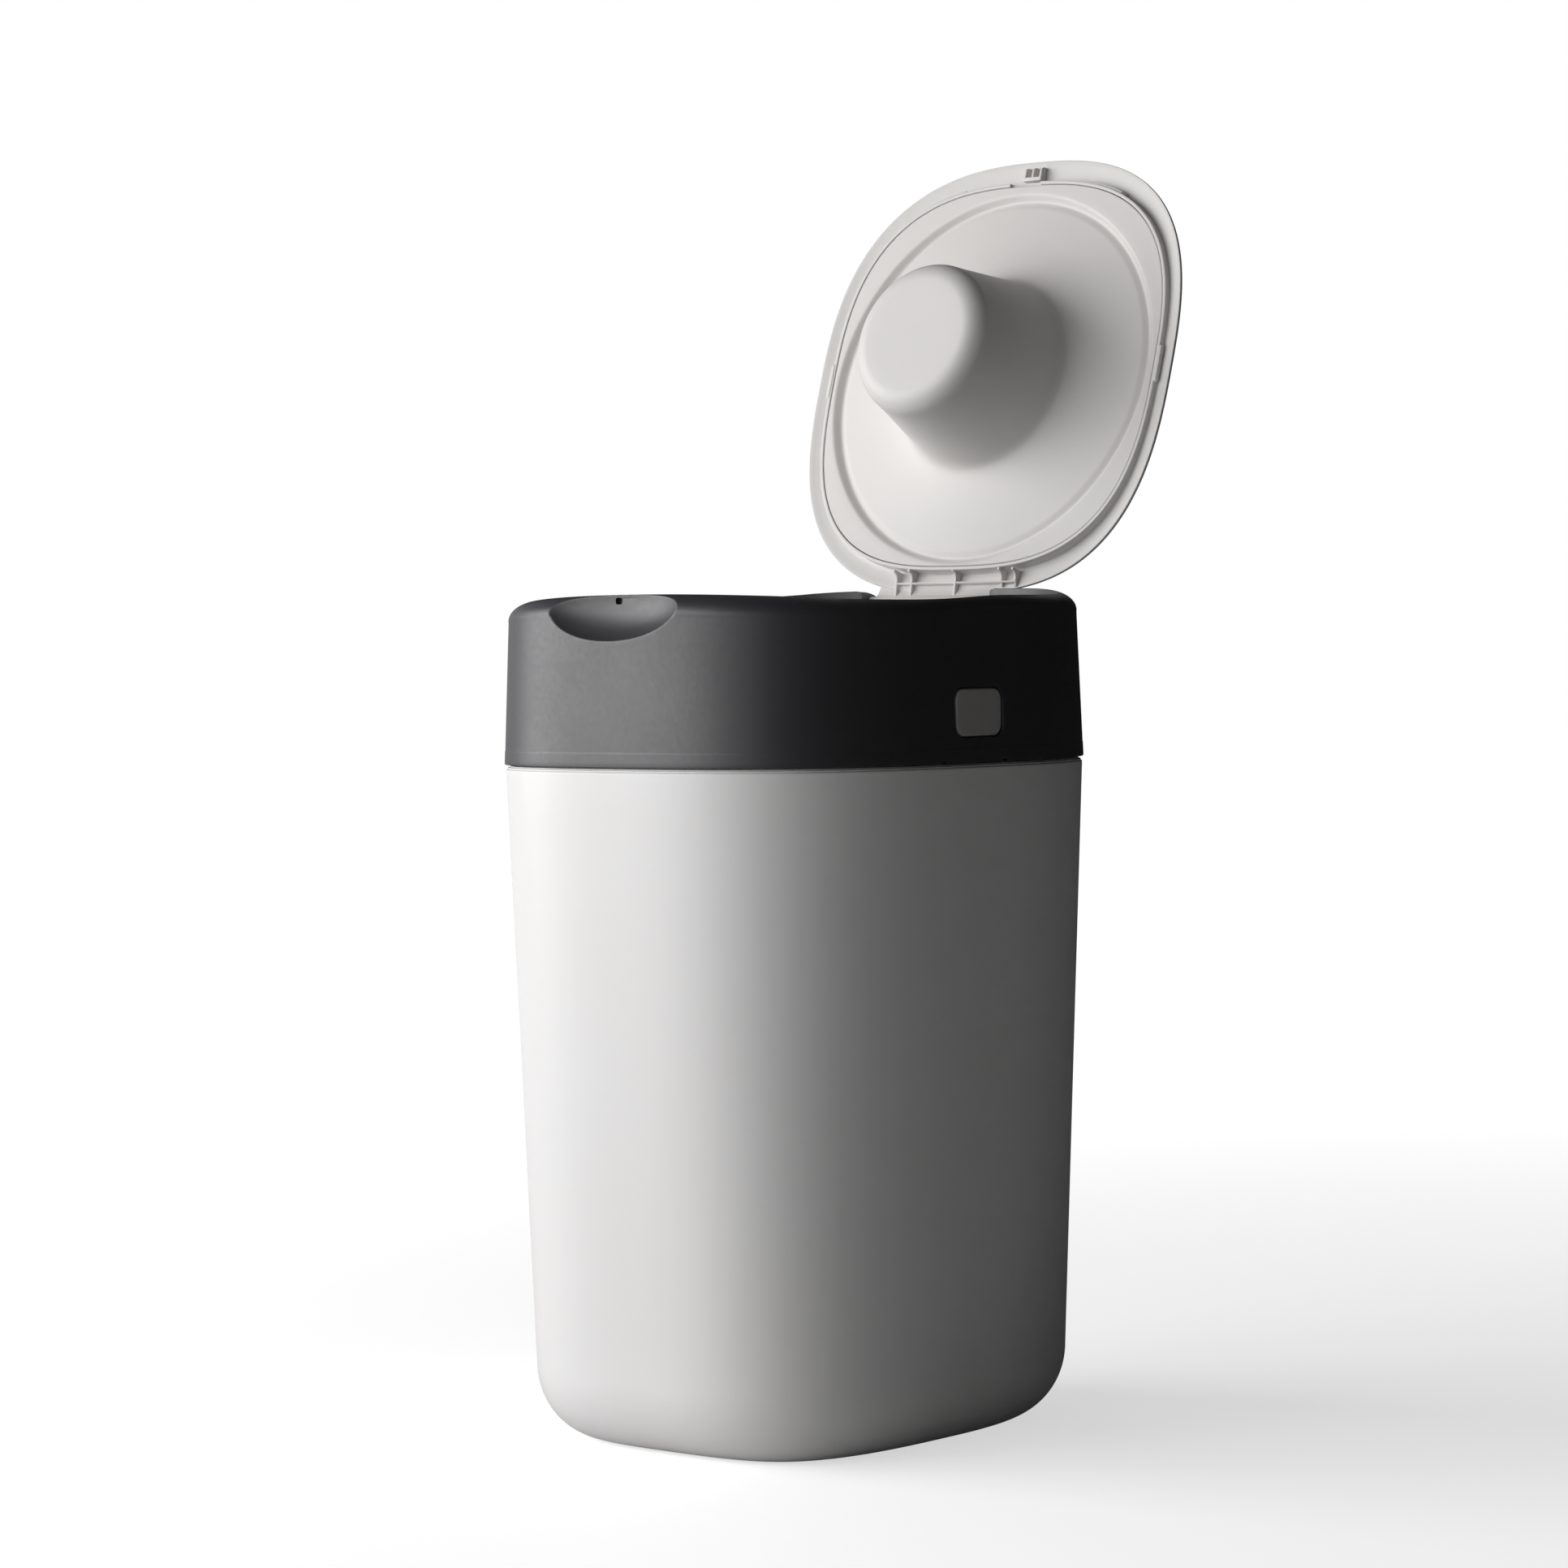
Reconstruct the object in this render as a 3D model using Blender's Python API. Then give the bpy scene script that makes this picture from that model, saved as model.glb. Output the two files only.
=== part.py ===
"""Nappy bin with a film-cassette mechanism.

A white tapering tub carries a dark grey upper casing on a side hinge.  The
casing holds the twist ring with its film cassette, the throat with its soft
fingers, the click pawl, the film cutter and the side release latch.  The lid,
with its push-down plunger, is hinged at the back and stands open.

Metres, +Z up, front towards -Y, lid hinge at +Y, release button on +X.
The origin is the middle of the flat base, on the floor.
"""
import math

import bpy
import bmesh
from mathutils import Matrix, Vector

for o in list(bpy.data.objects):
    bpy.data.objects.remove(o, do_unlink=True)

# ----------------------------------------------------------- driving sizes
SEG = 48                    # points round the big rounded-square outlines
RSEG = 40                   # points round the turned pieces
TEETH = 24                  # click teeth round the twist ring

# body outline at the tub's shoulder: half width, front and rear half depths
BODY_A, BODY_F, BODY_B = 0.1158, 0.1410, 0.1314
BODY_NF, BODY_NB = 2.978, 2.516
SHOULDER_Z = 0.3149
TUB_TAPER = 0.0384          # inset per metre below the shoulder
TUB_FILLET_H, TUB_FILLET_V = 0.0315, 0.0347
TUB_WALL = 0.0025
SPIGOT_INSET, SPIGOT_TOP = 0.0047, 0.3228

CASE_BOTTOM = 0.3170
CASE_TAPER = 0.0392
CASE_PROUD = 0.0008
CASE_FILLET_H, CASE_FILLET_V = 0.0160, 0.0095
CASE_WALL = 0.0028
RIM_FRONT_Z, RIM_REAR_Z = 0.3955, 0.3990
RIM_SIDE_DROP = 0.0045      # the top falls away towards its corners
DECK_TOP, DECK_BOTTOM = 0.3835, 0.3815
DECK_HOLE_R = 0.0925

# lid outline and height when closed
LID_A, LID_F, LID_B = 0.1099, 0.1127, 0.1158
LID_NF, LID_NB = 2.548, 2.852
LID_YC = -0.0111
LID_Z = 0.3950              # plane of the flange's lower edge
LID_SADDLE = 0.0054         # the edge is this much lower at the sides
LID_CROWN_Z = 0.4065
LID_SHELL = 0.0022
LINER_A, LINER_F, LINER_B = 0.1000, 0.0973, 0.1035
LINER_NF, LINER_NB = 2.690, 2.920
LINER_Z = 0.3890
LINER_T = 0.0018
RECESS_GAP, RECESS_GAP_REAR = 0.0015, 0.0030

LID_AXIS_Y, LID_AXIS_Z = 0.1109, 0.3912
LID_OPEN_DEG = 107.84

RING_Y = -0.0062            # axis of the twist ring, cassette and plunger
PLUNGER_TIP_Z = 0.3260

SIDE_AXIS_X, SIDE_AXIS_Z = -0.1207, 0.3160
KNUCKLE_R, SIDE_PIN_R = 0.0036, 0.0013

BUTTON_Y, BUTTON_Z = -0.0160, 0.3400
BUTTON_W, BUTTON_H = 0.0336, 0.0218
BUTTON_TRAVEL = 0.0040

NOTCH_X0, NOTCH_X1 = -0.0495, 0.0280
NOTCH_Y0, NOTCH_Y1 = 0.1000, 0.1205
NOTCH_FLOOR = 0.3830
LEAF_X = 0.0                # middle of the hinge leaf
TAB_X = 0.0019              # middle of the latch tab

CUT_Y = -0.0827             # line of the cutter's rail
CUT_TRAVEL = 0.0740


# ----------------------------------------------------------------- helpers
def sgn(v):
    return (v > 0) - (v < 0)


def outline(a, f, b, nf, nb, off=0.0, yc=0.0, n=SEG):
    """Rounded-square outline, with its own half depth and exponent in front
    (y < 0) and behind, pushed out along its normals by off."""
    pts = []
    for k in range(n):
        t = 2 * math.pi * k / n
        c, s = math.cos(t), math.sin(t)
        if abs(c) < 1e-9:
            c = 0.0
        if abs(s) < 1e-9:
            s = 0.0
        q, e = (b, nb) if s > 0 else (f, nf)
        r = (abs(c / a) ** e + abs(s / q) ** e) ** (-1 / e)
        x, y = r * c, r * s
        nx = sgn(x) * abs(x / a) ** (e - 1) / a
        ny = sgn(y) * abs(y / q) ** (e - 1) / q
        m = math.hypot(nx, ny)
        pts.append((x + off * nx / m, y + off * ny / m + yc))
    return pts


def normals(a, f, b, nf, nb, n=SEG):
    p0 = outline(a, f, b, nf, nb, 0.0, 0.0, n)
    p1 = outline(a, f, b, nf, nb, 0.001, 0.0, n)
    return [((u[0] - v[0]) / 0.001, (u[1] - v[1]) / 0.001) for u, v in zip(p1, p0)]


def body(off, n=SEG):
    return outline(BODY_A, BODY_F, BODY_B, BODY_NF, BODY_NB, off, 0.0, n)


def lid_line(off, n=SEG):
    return outline(LID_A, LID_F, LID_B, LID_NF, LID_NB, off, LID_YC, n)


def liner_line(off, n=SEG):
    return outline(LINER_A, LINER_F, LINER_B, LINER_NF, LINER_NB, off, LID_YC, n)


def at(pts, z):
    """A ring at height z, which is a number or a function of (x, y)."""
    if callable(z):
        return [(x, y, z(x, y)) for x, y in pts]
    return [(x, y, z) for x, y in pts]


def circle(r, yc=RING_Y, n=RSEG):
    return [(r * math.cos(2 * math.pi * k / n), yc + r * math.sin(2 * math.pi * k / n))
            for k in range(n)]


def material(name, rgb, rough, metal=0.0):
    m = bpy.data.materials.new(name)
    m.use_nodes = True
    b = m.node_tree.nodes["Principled BSDF"]
    b.inputs["Base Color"].default_value = (*rgb, 1.0)
    b.inputs["Roughness"].default_value = rough
    b.inputs["Metallic"].default_value = metal
    m.diffuse_color = (*rgb, 1.0)
    return m


def finish(name, bm, mat, sharp=35.0):
    bmesh.ops.remove_doubles(bm, verts=bm.verts[:], dist=1e-7)
    bmesh.ops.recalc_face_normals(bm, faces=bm.faces[:])
    bmesh.ops.triangulate(bm, faces=bm.faces[:])
    me = bpy.data.meshes.new(name)
    bm.to_mesh(me)
    bm.free()
    me.materials.clear()
    me.materials.append(mat)
    me.shade_smooth()
    me.set_sharp_from_angle(angle=math.radians(sharp))
    o = bpy.data.objects.new(name, me)
    bpy.context.scene.collection.objects.link(o)
    return o


def loft(rings, loop=False, cap_first=True, cap_last=True):
    """Skin a stack of equal rings.  loop joins the last ring to the first."""
    bm = bmesh.new()
    vs = [[bm.verts.new(p) for p in r] for r in rings]
    n = len(rings[0])
    pairs = list(zip(vs[:-1], vs[1:]))
    if loop:
        pairs.append((vs[-1], vs[0]))
    for a, b in pairs:
        for k in range(n):
            j = (k + 1) % n
            bm.faces.new((a[k], a[j], b[j], b[k]))
    if not loop:
        if cap_first:
            bm.faces.new(list(reversed(vs[0])))
        if cap_last:
            bm.faces.new(vs[-1])
    return bm


def turned(profile, yc=RING_Y, n=RSEG):
    """Closed (r, z) profile turned about the vertical axis at y = yc."""
    return loft([at(circle(r, yc, n), z) for r, z in profile], loop=True)


def box(x0, x1, y0, y1, z0, z1):
    bm = bmesh.new()
    bmesh.ops.create_cube(bm, size=1.0)
    for v in bm.verts:
        v.co = Vector(((x0 + x1) / 2 + v.co.x * (x1 - x0),
                       (y0 + y1) / 2 + v.co.y * (y1 - y0),
                       (z0 + z1) / 2 + v.co.z * (z1 - z0)))
    return bm


def prism(poly, axis, a0, a1):
    """Polygon pushed along an axis; its two coordinates are the other axes
    in X, Y, Z order."""
    def put(p, a):
        if axis == "x":
            return (a, p[0], p[1])
        if axis == "y":
            return (p[0], a, p[1])
        return (p[0], p[1], a)
    return loft([[put(p, a0) for p in poly], [put(p, a1) for p in poly]])


def rod(axis, centre, r, a0, a1, n=12):
    c0, c1 = centre
    poly = [(c0 + r * math.cos(2 * math.pi * (k + 0.5) / n),
             c1 + r * math.sin(2 * math.pi * (k + 0.5) / n)) for k in range(n)]
    return prism(poly, axis, a0, a1)


def ellipsoid(centre, radii, u=24, v=14):
    bm = bmesh.new()
    bmesh.ops.create_uvsphere(bm, u_segments=u, v_segments=v, radius=1.0)
    for p in bm.verts:
        p.co = Vector((centre[0] + p.co.x * radii[0], centre[1] + p.co.y * radii[1],
                       centre[2] + p.co.z * radii[2]))
    return bm


def rounded_rect(cy, cz, w, h, r, per=4):
    """Rounded rectangle in (y, z), as a list of points."""
    pts = []
    for sy, sz, a0 in ((1, 1, 0), (-1, 1, 90), (-1, -1, 180), (1, -1, 270)):
        for k in range(per):
            a = math.radians(a0 + 90 * k / (per - 1))
            pts.append((cy + sy * (w / 2 - r) + r * math.cos(a),
                        cz + sz * (h / 2 - r) + r * math.sin(a)))
    return pts


def coil(axis, centre, a0, a1, radius, wire, turns, per=8, sides=4):
    """Compression spring as one closed tube along an axis."""
    c0, c1 = centre
    total = int(turns * per)
    path = []
    for k in range(total + 1):
        t = k / total
        a = 2 * math.pi * turns * t
        ends = wire + (a1 - a0 - 2 * wire) * t
        u, w, s = c0 + radius * math.cos(a), c1 + radius * math.sin(a), a0 + ends
        path.append(Vector((s, u, w)) if axis == "x" else Vector((u, s, w)))
    main = Vector((1, 0, 0)) if axis == "x" else Vector((0, 1, 0))
    rings = []
    for k, p in enumerate(path):
        tan = (path[min(k + 1, total)] - path[max(k - 1, 0)]).normalized()
        side = tan.cross(main).normalized()
        up = side.cross(tan).normalized()
        rings.append([tuple(p + wire * (math.cos(2 * math.pi * j / sides) * side
                                        + math.sin(2 * math.pi * j / sides) * up))
                      for j in range(sides)])
    return loft(rings)


def combine(obj, bm, op):
    """Boolean with the exact solver, applied at once."""
    tool = finish("tool", bm, obj.data.materials[0])
    tool.hide_render = True
    tool.display_type = "WIRE"
    mod = obj.modifiers.new("cut", "BOOLEAN")
    mod.operation = op
    mod.solver = "EXACT"
    mod.object = tool
    bpy.context.view_layer.update()
    dg = bpy.context.evaluated_depsgraph_get()
    new = bpy.data.meshes.new_from_object(obj.evaluated_get(dg))
    obj.modifiers.clear()
    # the cut leaves points closer than a micrometre: weld them
    tidy = bmesh.new()
    tidy.from_mesh(new)
    bmesh.ops.remove_doubles(tidy, verts=tidy.verts[:], dist=2e-6)
    bmesh.ops.dissolve_degenerate(tidy, edges=tidy.edges[:], dist=1e-6)
    bmesh.ops.triangulate(tidy, faces=tidy.faces[:])
    tidy.to_mesh(new)
    tidy.free()
    old, mat = obj.data, obj.data.materials[0]
    obj.data = new
    bpy.data.meshes.remove(old)
    bpy.data.objects.remove(tool, do_unlink=True)
    new.materials.clear()
    new.materials.append(mat)
    for p in new.polygons:
        p.material_index = 0
    new.name = obj.name
    new.shade_smooth()
    new.set_sharp_from_angle(angle=math.radians(35))


def cut(obj, bm):
    combine(obj, bm, "DIFFERENCE")


def add(obj, bm):
    combine(obj, bm, "UNION")


# --------------------------------------------------------------- materials
WHITE = (0.80, 0.79, 0.78)
GREY = (0.060, 0.060, 0.066)
m_tub = material("tub_white", WHITE, 0.42)
m_case = material("casing_grey", GREY, 0.55)
m_cover = material("lid_cover_white", (0.78, 0.77, 0.75), 0.45)
m_liner = material("lid_liner_white", (0.76, 0.74, 0.72), 0.45)
m_button = material("button_grey", (0.42, 0.41, 0.40), 0.50)
m_ring = material("twist_ring_white", (0.78, 0.77, 0.76), 0.40)
m_cass = material("cassette_teal", (0.10, 0.42, 0.44), 0.40)
m_cap = material("cassette_cap_white", (0.80, 0.80, 0.79), 0.40)
m_film = material("film_pack", (0.55, 0.72, 0.74), 0.35)
m_house = material("housing_grey", (0.13, 0.13, 0.135), 0.55)
m_soft = material("finger_rubber", (0.20, 0.20, 0.21), 0.75)
m_mech = material("mechanism_white", (0.62, 0.62, 0.61), 0.45)
m_steel = material("steel", (0.55, 0.55, 0.56), 0.28, 1.0)
m_cutter = material("cutter_orange", (0.70, 0.24, 0.06), 0.45)


# --------------------------------------------------------------------- tub
def tub_off(z):
    return -TUB_TAPER * (SHOULDER_Z - z)


rings = []
for deg in (90, 66, 44, 22, 0):
    q = math.radians(deg)
    rings.append(at(body(tub_off(TUB_FILLET_V) - TUB_FILLET_H * (1 - math.cos(q))),
                    TUB_FILLET_V * (1 - math.sin(q))))
rings.append(at(body(-0.0001), SHOULDER_Z))
rings.append(at(body(-0.0007), SHOULDER_Z + 0.0009))
rings.append(at(body(-0.0019), SHOULDER_Z + 0.0009))
rings.append(at(body(-0.0019), SHOULDER_Z + 0.0016))
rings.append(at(body(-SPIGOT_INSET), SHOULDER_Z + 0.0016))
rings.append(at(body(-SPIGOT_INSET), SPIGOT_TOP))
rings.append(at(body(-SPIGOT_INSET - 0.0022), SPIGOT_TOP))
rings.append(at(body(-SPIGOT_INSET - 0.0022), 0.3080))
rings.append(at(body(tub_off(0.3030) - TUB_WALL), 0.3030))
for deg in (0, 35, 65, 90):
    q = math.radians(deg)
    rings.append(at(body(tub_off(TUB_FILLET_V) - TUB_WALL - (TUB_FILLET_H - 0.001) * (1 - math.cos(q))),
                    0.0030 + (TUB_FILLET_V - 0.0030) * (1 - math.sin(q))))
tub = finish("tub", loft(rings), m_tub)

# pocket in the spigot where the release latch's tongue comes down
cut(tub, box(0.1040, 0.1125, BUTTON_Y - 0.0215, BUTTON_Y + 0.0215, 0.3105, 0.3300))


def knuckle_profile(up):
    """Side-hinge knuckle and its arm in (x, z); up for the casing's."""
    cx, cz, r = SIDE_AXIS_X, SIDE_AXIS_Z, KNUCKLE_R
    pts = []
    for k in range(11):
        a = math.radians(0 + 235 * k / 10)
        pts.append((cx + r * math.cos(a), cz + (-1 if up else 1) * r * math.sin(a)))
    if up:
        return pts + [(-0.1143, 0.3300), (-0.1143, 0.3174), (-0.1171, 0.3174)]
    return pts + [(-0.1136, 0.3010), (-0.1136, 0.3144), (-0.1171, 0.3144)]


for y0, y1 in ((-0.0280, -0.0138), (0.0138, 0.0280)):
    add(tub, prism(knuckle_profile(False), "y", y0, y1))
cut(tub, rod("y", (SIDE_AXIS_X, SIDE_AXIS_Z), SIDE_PIN_R + 0.0004, -0.0300, 0.0300))

side_hinge_pin = finish("side_hinge_pin",
                        rod("y", (SIDE_AXIS_X, SIDE_AXIS_Z), SIDE_PIN_R, -0.0276, 0.0276), m_steel)


# ------------------------------------------------------------------ casing
def case_off(z):
    return CASE_PROUD - CASE_TAPER * (z - SHOULDER_Z)


def top_plane(x, y):
    """Top of the casing before its edge fillet: it rises a little to the
    back, falls away behind the lid hinge, and drops towards its corners."""
    z = RIM_FRONT_Z + (RIM_REAR_Z - RIM_FRONT_Z) * (y + 0.130) / 0.235
    if y > 0.105:
        z = min(z, RIM_REAR_Z - 0.20 * (y - 0.105))
    return z - RIM_SIDE_DROP * (x / 0.110) ** 2 * min(1.0, abs(y) / 0.090) ** 1.5


def in_recess(x, y):
    g = RECESS_GAP
    s = y - LID_YC
    q, e = (LID_B + RECESS_GAP_REAR, LID_NB) if s > 0 else (LID_F + g, LID_NF)
    return abs(x / (LID_A + g)) ** e + abs(s / q) ** e < 1.0


def recess_points(n=SEG):
    """Where the inward normal of the body outline meets the lid recess."""
    start = body(case_off(0.384), n)
    nrm = normals(BODY_A, BODY_F, BODY_B, BODY_NF, BODY_NB, n)
    out = []
    for (x, y), (nx, ny) in zip(start, nrm):
        lo, hi = 0.0, 0.05
        for _ in range(40):
            mid = (lo + hi) / 2
            if in_recess(x - nx * mid, y - ny * mid):
                hi = mid
            else:
                lo = mid
        out.append(hi)
    return start, nrm, out


start, nrm, depth = recess_points()


def rim_height(x, y, d):
    """Height of the casing's top at d inside its outer face."""
    z = top_plane(x, y)
    if d < CASE_FILLET_H:
        u = 1.0 - d / CASE_FILLET_H
        z -= CASE_FILLET_V * (1.0 - (1.0 - u ** 2.2) ** (1.0 / 2.2))
    return z


rings = [at(body(0.0004), CASE_BOTTOM), at(body(case_off(0.3176)), 0.3176)]
rings.append([(x, y, rim_height(x, y, 0.0)) for x, y in start])
for s in (0.025, 0.09, 0.20, 0.36, 0.62, 1.0):
    rings.append([(x - nx * s * d, y - ny * s * d, rim_height(x - nx * s * d, y - ny * s * d, s * d))
                  for (x, y), (nx, ny), d in zip(start, nrm, depth)])
edge = [(x - nx * d, y - ny * d) for (x, y), (nx, ny), d in zip(start, nrm, depth)]
rings.append(at(edge, DECK_TOP))
hole = []
for x, y in edge:
    a = math.atan2(y - RING_Y, x)
    hole.append((DECK_HOLE_R * math.cos(a), RING_Y + DECK_HOLE_R * math.sin(a)))
rings.append(at(hole, DECK_TOP))
rings.append(at(hole, DECK_BOTTOM))
rings.append(at(body(case_off(DECK_BOTTOM) - CASE_WALL), DECK_BOTTOM))
rings.append(at(body(case_off(CASE_BOTTOM) - CASE_WALL), CASE_BOTTOM))
casing = finish("casing", loft(rings, loop=True), m_case)

# finger scoop at the front: an extra wall behind it, then the hollow
SCOOP = (-0.0020, -0.1456, 0.3928)
SCOOP_R = (0.0455, 0.0192, 0.0193)
wall = finish("wall", ellipsoid(SCOOP, [r + 0.0022 for r in SCOOP_R]), m_case)
combine(wall, loft([at(body(case_off(0.364) - 0.0008), 0.3640),
                    at(body(case_off(0.3826) - 0.0008), 0.3826)]), "INTERSECT")
bm = bmesh.new()
bm.from_mesh(wall.data)
bpy.data.objects.remove(wall, do_unlink=True)
add(casing, bm)
cut(casing, ellipsoid(SCOOP, SCOOP_R))
# latch slot through the wall behind the scoop
cut(casing, box(-0.0080, 0.0064, -0.1300, -0.1240, 0.3906, 0.3936))

# notch for the lid's hinge barrel, and the pin's bores beside it
cut(casing, box(NOTCH_X0, NOTCH_X1, NOTCH_Y0, NOTCH_Y1, NOTCH_FLOOR + 0.0008, 0.4100))
cut(casing, rod("x", (LID_AXIS_Y, LID_AXIS_Z), 0.0019, NOTCH_X0 - 0.0060, NOTCH_X1 + 0.0060))


def pocket(side, y_out, y_in, x0, x1, z1):
    """Core-out of the thick rear corner, moulded from below."""
    p = [(side * x0, y_in(x0)), (side * x1, y_in(x1)), (side * x1, y_out(x1)), (side * x0, y_out(x0))]
    return prism(p, "z", 0.3700, z1)


def rear_outer(x):
    a = BODY_A + case_off(0.388)
    b = BODY_B + case_off(0.388)
    return b * (1 - (x / a) ** BODY_NB) ** (1 / BODY_NB) - 0.0034


def rear_inner(x):
    a, b = LID_A + RECESS_GAP, LID_B + RECESS_GAP_REAR
    return LID_YC + b * (1 - (x / a) ** LID_NB) ** (1 / LID_NB) + 0.0028


cut(casing, pocket(-1, rear_outer, rear_inner, 0.0560, 0.0770, 0.3905))
cut(casing, pocket(1, rear_outer, rear_inner, 0.0345, 0.0550, 0.3905))
cut(casing, pocket(1, rear_outer, rear_inner, 0.0575, 0.0770, 0.3905))

# opening for the release button, with the latch tongue's slits at the seam
cut(casing, prism(rounded_rect(BUTTON_Y, BUTTON_Z, BUTTON_W + 0.0014, BUTTON_H + 0.0014, 0.0060),
                  "x", 0.1080, 0.1200))
for s in (-1, 1):
    mid = BUTTON_Y - 0.0042 + s * 0.0217
    cut(casing, box(0.1110, 0.1180, mid - 0.0017, mid + 0.0017, 0.3160, 0.3182))

# screw bosses under the deck
SCREW_R = 0.0985
SCREWS = [(SCREW_R * math.cos(math.radians(a)), RING_Y + SCREW_R * math.sin(math.radians(a)))
          for a in (45, 135, 225, 315)]
for cx, cy in SCREWS:
    add(casing, rod("z", (cx, cy), 0.0040, 0.3742, 0.3820))
    cut(casing, rod("z", (cx, cy), 0.0018, 0.3700, 0.3800, 8))

# middle knuckle of the side hinge
add(casing, prism(knuckle_profile(True), "y", -0.0134, 0.0134))
cut(casing, rod("y", (SIDE_AXIS_X, SIDE_AXIS_Z), SIDE_PIN_R + 0.0004, -0.0200, 0.0200))

lid_hinge_pin = finish("lid_hinge_pin",
                       rod("x", (LID_AXIS_Y, LID_AXIS_Z), 0.0015, NOTCH_X0 - 0.0055, NOTCH_X1 + 0.0055),
                       m_steel)

# ------------------------------------------------- ring housing and screws
housing = finish("ring_housing", turned([
    (0.1030, 0.3712), (0.1030, 0.3734), (0.0906, 0.3734), (0.0906, 0.3352), (0.0612, 0.3352),
    (0.0590, 0.3330), (0.0590, 0.3068), (0.0555, 0.3068), (0.0555, 0.3050), (0.0612, 0.3050),
    (0.0612, 0.3330), (0.0926, 0.3330), (0.0926, 0.3712)]), m_house)
for cx, cy in SCREWS:
    cut(housing, rod("z", (cx, cy), 0.0020, 0.3690, 0.3760, 8))

# square guide for the click pawl on the housing's front
GUIDE_Y0, GUIDE_Y1 = -0.1220, RING_Y - 0.0908
add(housing, box(-0.0056, 0.0056, GUIDE_Y0, RING_Y - 0.0912, 0.3444, 0.3556))
cut(housing, box(-0.0038, 0.0038, GUIDE_Y0 - 0.002, RING_Y - 0.0880, 0.3462, 0.3538))

for k, (cx, cy) in enumerate(SCREWS):
    head = [(0.0, 0.3686), (0.0030, 0.3686), (0.0030, 0.3709), (0.0014, 0.3709), (0.0014, 0.3785), (0.0, 0.3792)]
    rr = [[(cx + max(r, 0.0002) * math.cos(2 * math.pi * (j + 0.5) / 10),
            cy + max(r, 0.0002) * math.sin(2 * math.pi * (j + 0.5) / 10), z) for j in range(10)]
          for r, z in head]
    finish("housing_screw_%d" % (k + 1), loft(rr), m_steel)

# ----------------------------------------------------- grip fingers (soft)
PETALS = 10


def petal_ring(z_shift):
    pts = []
    for k in range(PETALS * 4):
        a = 2 * math.pi * k / (PETALS * 4)
        step = k % 4
        r = 0.0180 if step in (1, 2) else 0.0470
        squeeze = {0: 0.20, 1: 0.30, 2: -0.30, 3: -0.20}[step] * 2 * math.pi / (PETALS * 4)
        a += squeeze
        z = 0.3082 - (0.0480 - r) * 0.38
        pts.append((r * math.cos(a), RING_Y + r * math.sin(a), z + z_shift))
    return pts


grip_fingers = finish("grip_fingers", loft([
    at(circle(0.0586), 0.3072), at(circle(0.0586), 0.3096), at(circle(0.0490), 0.3096),
    petal_ring(0.0010), petal_ring(-0.0004), at(circle(0.0490), 0.3072)], loop=True), m_soft)

# ------------------------------------------------------------ film cutter
rail = [(-0.0492, 0.3215), (0.0492, 0.3215), (0.0492, 0.3327), (0.0452, 0.3327),
        (0.0452, 0.3255), (-0.0452, 0.3255), (-0.0452, 0.3327), (-0.0492, 0.3327)]
cutter_rail = finish("cutter_rail", prism(rail, "y", CUT_Y - 0.0040, CUT_Y + 0.0040), m_mech)
SL0, SL1 = -0.0448, -0.0308
slider = finish("cutter_slider", box(SL0, SL1, CUT_Y - 0.0075, CUT_Y + 0.0075, 0.3170, 0.3290), m_cutter)
cut(slider, box(SL0 - 0.01, SL1 + 0.01, CUT_Y - 0.0044, CUT_Y + 0.0044, 0.3211, 0.3259))
add(slider, prism([(SL0 + 0.001, 0.3185), (SL0 + 0.002, 0.3080), (SL1 - 0.002, 0.3080), (SL1 - 0.001, 0.3185)],
                  "y", CUT_Y - 0.0040, CUT_Y + 0.0040))
cut(slider, box(SL0 - 0.01, SL1 + 0.01, CUT_Y - 0.0008, CUT_Y + 0.0008, 0.3060, 0.3155))
cutter_blade = finish("cutter_blade", prism(
    [(SL0 + 0.0032, 0.3090), (SL1 - 0.0032, 0.3090), (SL1 - 0.0032, 0.3118), (SL0 + 0.0060, 0.3150),
     (SL0 + 0.0032, 0.3150)], "y", CUT_Y - 0.0003, CUT_Y + 0.0003), m_steel)

# ------------------------------------------------------------ click pawl
PAWL_TIP = RING_Y - 0.0887
click_pawl = finish("click_pawl", prism([
    (-0.0015, PAWL_TIP), (0.0015, PAWL_TIP), (0.0033, PAWL_TIP - 0.0026), (0.0033, -0.1120),
    (-0.0033, -0.1120), (-0.0033, PAWL_TIP - 0.0026)], "z", 0.3467, 0.3533), m_mech)
pawl_spring = finish("pawl_spring", coil("y", (0.0, 0.3500), -0.1204, -0.1124, 0.0022, 0.0003, 4), m_steel)
pawl_cap = finish("pawl_cap", box(-0.0056, 0.0056, -0.1241, -0.1223, 0.3444, 0.3556), m_mech)
add(pawl_cap, box(-0.0034, 0.0034, -0.1224, -0.1207, 0.3466, 0.3534))

# ---------------------------------------------------- release latch group
SLIDE_X0, SLIDE_X1 = 0.1080, 0.1099


def face_ring(w, h, r, x, curve=0.0):
    return [(x - curve * (y - BUTTON_Y) ** 2, y, z)
            for y, z in rounded_rect(BUTTON_Y, BUTTON_Z, w, h, r)]


release_button = finish("release_button", loft([
    face_ring(BUTTON_W + 0.0050, BUTTON_H + 0.0050, 0.0065, 0.1102),
    face_ring(BUTTON_W + 0.0050, BUTTON_H + 0.0050, 0.0065, 0.1116),
    face_ring(BUTTON_W, BUTTON_H, 0.0055, 0.1117),
    face_ring(BUTTON_W, BUTTON_H, 0.0055, 0.1146, 1.0),
    face_ring(BUTTON_W - 0.0016, BUTTON_H - 0.0016, 0.0048, 0.1154, 1.0)]), m_button)

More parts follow.
